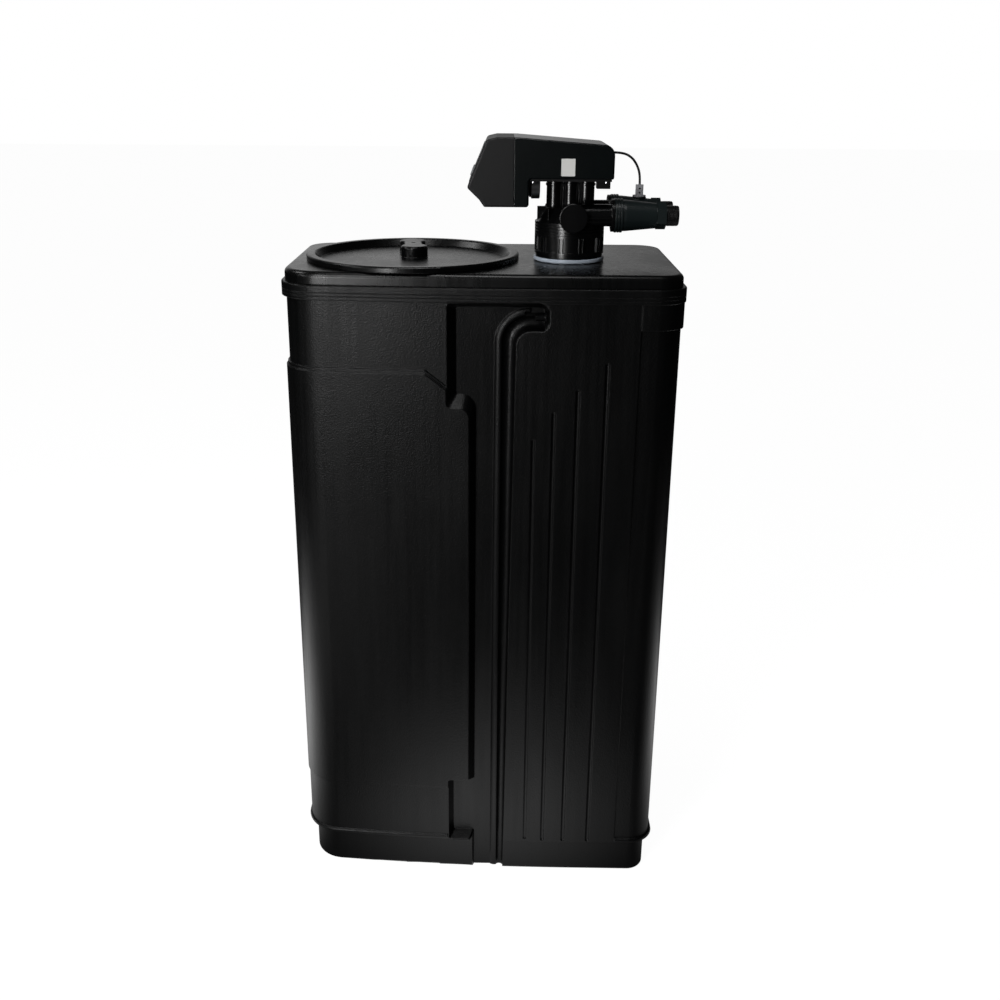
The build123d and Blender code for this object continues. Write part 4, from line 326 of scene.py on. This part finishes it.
def make_lamps():
    target = Vector(LAMP_TARGET)
    for name, azimuth, elevation, size, power in LAMPS:
        data = bpy.data.lights.new(name, "AREA")
        data.shape = "SQUARE"
        data.size = size
        data.energy = power
        lamp = link(bpy.data.objects.new(name, data))
        turn = math.radians(azimuth)
        rise = math.radians(elevation)
        way = Vector((math.sin(turn) * math.cos(rise), -math.cos(turn) * math.cos(rise), math.sin(rise)))
        aim = (-way).to_track_quat("-Z", "Y").to_matrix().to_4x4()
        lamp.matrix_world = Matrix.Translation(target + LAMP_DISTANCE * way) @ aim


def noise(tree, scale, detail, roughness=0.5, stretch=None):
    """Noise over the object's own coordinates, in features per metre."""
    place = tree.nodes.new("ShaderNodeTexCoord")
    source = place.outputs["Object"]
    if stretch:
        mapping = tree.nodes.new("ShaderNodeMapping")
        mapping.inputs["Scale"].default_value = stretch
        tree.links.new(source, mapping.inputs["Vector"])
        source = mapping.outputs[0]
    texture = tree.nodes.new("ShaderNodeTexNoise")
    texture.inputs["Scale"].default_value = scale
    texture.inputs["Detail"].default_value = detail
    texture.inputs["Roughness"].default_value = roughness
    tree.links.new(source, texture.inputs["Vector"])
    return texture.outputs["Fac"]


def spread(tree, value, low, high):
    """The middle range of a noise, mapped to low and high."""
    fit = tree.nodes.new("ShaderNodeMapRange")
    fit.inputs["From Min"].default_value = NOISE_LOW
    fit.inputs["From Max"].default_value = NOISE_HIGH
    fit.inputs["To Min"].default_value = low
    fit.inputs["To Max"].default_value = high
    tree.links.new(value, fit.inputs["Value"])
    return fit.outputs[0]


def finish_material(name, colour, roughness, grain, grain_depth, uneven=0.15, waves=0.0, metal=0.0,
                    specular=0.5, coat=0.0, edge=0.3, streaks=0.0):
    """Surface with soft edges, fine grain and slow waves, whose colour and gloss vary a little."""
    material = bpy.data.materials.new(name)
    material.use_nodes = True
    tree = material.node_tree
    shader = tree.nodes["Principled BSDF"]
    shader.inputs["Metallic"].default_value = metal
    shader.inputs["Specular IOR Level"].default_value = specular
    shader.inputs["Coat Weight"].default_value = coat

    mottle = noise(tree, **MOTTLE)
    ramp = tree.nodes.new("ShaderNodeValToRGB")
    darker, lighter = ramp.color_ramp.elements
    darker.position = NOISE_LOW
    lighter.position = NOISE_HIGH
    darker.color = [c * (1 - uneven) for c in colour] + [1.0]
    lighter.color = [min(1.0, c * (1 + uneven)) for c in colour] + [1.0]
    tree.links.new(mottle, ramp.inputs[0])
    tree.links.new(ramp.outputs[0], shader.inputs["Base Color"])

    smear = noise(tree, **SMEAR)
    gloss = spread(tree, smear, roughness * GLOSSY_SHARE, min(1.0, roughness * DULL_SHARE))
    if streaks:
        lines = noise(tree, **STREAK_LINES)
        gloss = arithmetic(tree, "ADD", gloss, spread(tree, lines, -streaks / 2, streaks / 2))
    tree.links.new(gloss, shader.inputs["Roughness"])

    bevel = tree.nodes.new("ShaderNodeBevel")
    bevel.samples = BEVEL_SAMPLES
    bevel.inputs["Radius"].default_value = edge * MM
    normal = bevel.outputs[0]
    for scale, depth in ((WAVE_SCALE, waves), (grain, grain_depth)):
        if depth:
            bump = tree.nodes.new("ShaderNodeBump")
            bump.inputs["Distance"].default_value = depth * MM
            tree.links.new(noise(tree, scale, BUMP_DETAIL), bump.inputs["Height"])
            tree.links.new(normal, bump.inputs["Normal"])
            normal = bump.outputs[0]
    tree.links.new(normal, shader.inputs["Normal"])
    return material


def dress_nodes():
    """Gives every CAD node the material of its slot, and the dark nodes their own."""
    for row in frame["record"]["subparts"]:
        mesh = frame["nodes"][row["node"]].data
        mesh.materials.clear()
        mesh.materials.append(made[DARK_NODES.get(row["node"], row["material_slot"])])


def mesh_piece(name, bm, body, slot, material=None, smooth=False):
    """Object from a bmesh, with its body and a material, which is the slot's if none is given."""
    bmesh.ops.recalc_face_normals(bm, faces=bm.faces)
    mesh = bpy.data.meshes.new(name)
    bm.to_mesh(mesh)
    bm.free()
    if smooth:
        mesh.polygons.foreach_set("use_smooth", [True] * len(mesh.polygons))
    mesh.materials.append(material or made[slot])
    obj = link(bpy.data.objects.new(name, mesh))
    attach(obj, body)


def make_label():
    """Thin blank plate with round corners, on the front of the controller's cover."""
    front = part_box("controller_cover")[0][1]
    width, height = LABEL_SIZE
    outline = []
    # corners: whether at the right, whether at the top, quarter turns before the arc's start
    for right, upper, quarters in ((1, 1, 0), (0, 1, 1), (0, 0, 2), (1, 0, 3)):
        x = LABEL_LOW[0] + (width - LABEL_CORNER if right else LABEL_CORNER)
        z = LABEL_LOW[1] + (height - LABEL_CORNER if upper else LABEL_CORNER)
        for step in range(ARC_STEPS + 1):
            angle = QUARTER_TURN * (quarters + step / ARC_STEPS)
            outline.append((x + LABEL_CORNER * math.cos(angle), z + LABEL_CORNER * math.sin(angle)))
    bm = bmesh.new()
    face = bm.faces.new([bm.verts.new((x * MM, front, z * MM)) for x, z in outline])
    raised = bmesh.ops.extrude_face_region(bm, geom=[face])
    moved = [item for item in raised["geom"] if isinstance(item, bmesh.types.BMVert)]
    bmesh.ops.translate(bm, verts=moved, vec=(0, -LABEL_THICK * MM, 0))
    mesh_piece("blank_label", bm, "softener", "pipe_plastic", finish_material("label_look", **LABEL_LOOK))


def make_thread(name, y, body, slot):
    """Helical ridge of a pipe thread along X, of three corners in section."""
    turns = (THREAD_END - THREAD_START) / THREAD_PITCH
    steps = round(turns * THREAD_STEPS)
    bm = bmesh.new()
    last = None
    for step in range(steps + 1):
        angle = math.tau * step / THREAD_STEPS
        x = THREAD_START + THREAD_PITCH * step / THREAD_STEPS
        nearest_end = min(step, steps - step)
        crest = THREAD_HEIGHT * min(1.0, nearest_end / THREAD_STEPS / THREAD_RUN_OUT)
        section = ((-THREAD_HALF_WIDTH, -THREAD_SUNK), (0.0, crest), (THREAD_HALF_WIDTH, -THREAD_SUNK))
        ring = []
        for shift, rise in section:
            radius = THREAD_RADIUS + rise
            along = x + shift * THREAD_PITCH
            place = (along, y + radius * math.cos(angle), PIPE_Z + radius * math.sin(angle))
            ring.append(bm.verts.new([value * MM for value in place]))
        if last:
            for a, b in ((0, 1), (1, 2), (2, 0)):
                bm.faces.new((last[a], last[b], ring[b], ring[a]))
        else:
            bm.faces.new(ring)
        last = ring
    bm.faces.new(last)
    mesh_piece(name, bm, body, slot)


def make_disc(name, middle, body, slot):
    """Low round button that faces the viewer."""
    bm = bmesh.new()
    bmesh.ops.create_cone(bm, cap_ends=True, segments=DOT_SIDES, radius1=DOT_RADIUS * MM,
                          radius2=DOT_RADIUS * DOT_FRONT * MM, depth=DOT_DEPTH * MM)
    bmesh.ops.rotate(bm, verts=bm.verts, matrix=Matrix.Rotation(QUARTER_TURN, 3, "X"))
    bmesh.ops.translate(bm, verts=bm.verts, vec=Vector(middle) * MM)
    mesh_piece(name, bm, body, slot)


def make_bar():
    """Bar with round ends that follows the bead across the foot notch."""
    profile = []
    for end, way in ((BAR_START, -1), (BAR_END, 1)):
        dome = []
        for step in range(ARC_STEPS):
            rise = QUARTER_TURN * step / ARC_STEPS
            dome.append((end + way * BAR_RADIUS * math.sin(rise), BAR_RADIUS * math.cos(rise)))
        profile += dome[::-1] if way < 0 else dome
    turns = [math.tau * side / BAR_SIDES for side in range(BAR_SIDES)]
    bm = bmesh.new()
    loops = []
    for x, radius in profile:
        places = [(x, BAR_Y + radius * math.cos(turn), BAR_Z + radius * math.sin(turn)) for turn in turns]
        loops.append([bm.verts.new([value * MM for value in place]) for place in places])
    for first, second in zip(loops, loops[1:]):
        for side in range(BAR_SIDES):
            after = (side + 1) % BAR_SIDES
            bm.faces.new((first[side], first[after], second[after], second[side]))
    bm.faces.new(loops[0])
    bm.faces.new(loops[-1])
    mesh_piece("notch_bead", bm, "softener", "cabinet_plastic", smooth=True)


make_camera()
lead = make_lead()
make_floor()
make_world()
make_lamps()
bpy.context.scene.view_settings.view_transform = "Standard"

made = {name: finish_material(name + "_look", **values) for name, values in MATERIALS.items()}
dress_nodes()
lead.data.materials.append(made["rubber"])

make_label()
make_bar()
make_thread("inlet_thread", INLET_Y, "softener", "nozzle_plastic")
make_thread("outlet_thread", OUTLET_Y, "softener", "nozzle_plastic")
for number, drop in enumerate(DOT_DROPS, start=1):
    middle = (TAB_X, OUTLET_Y - TAB_DEPTH / 2 - DOT_DEPTH / 2, TAB_TOP - drop)
    make_disc(f"probe_contact_{number}", middle, "softener", "rubber")
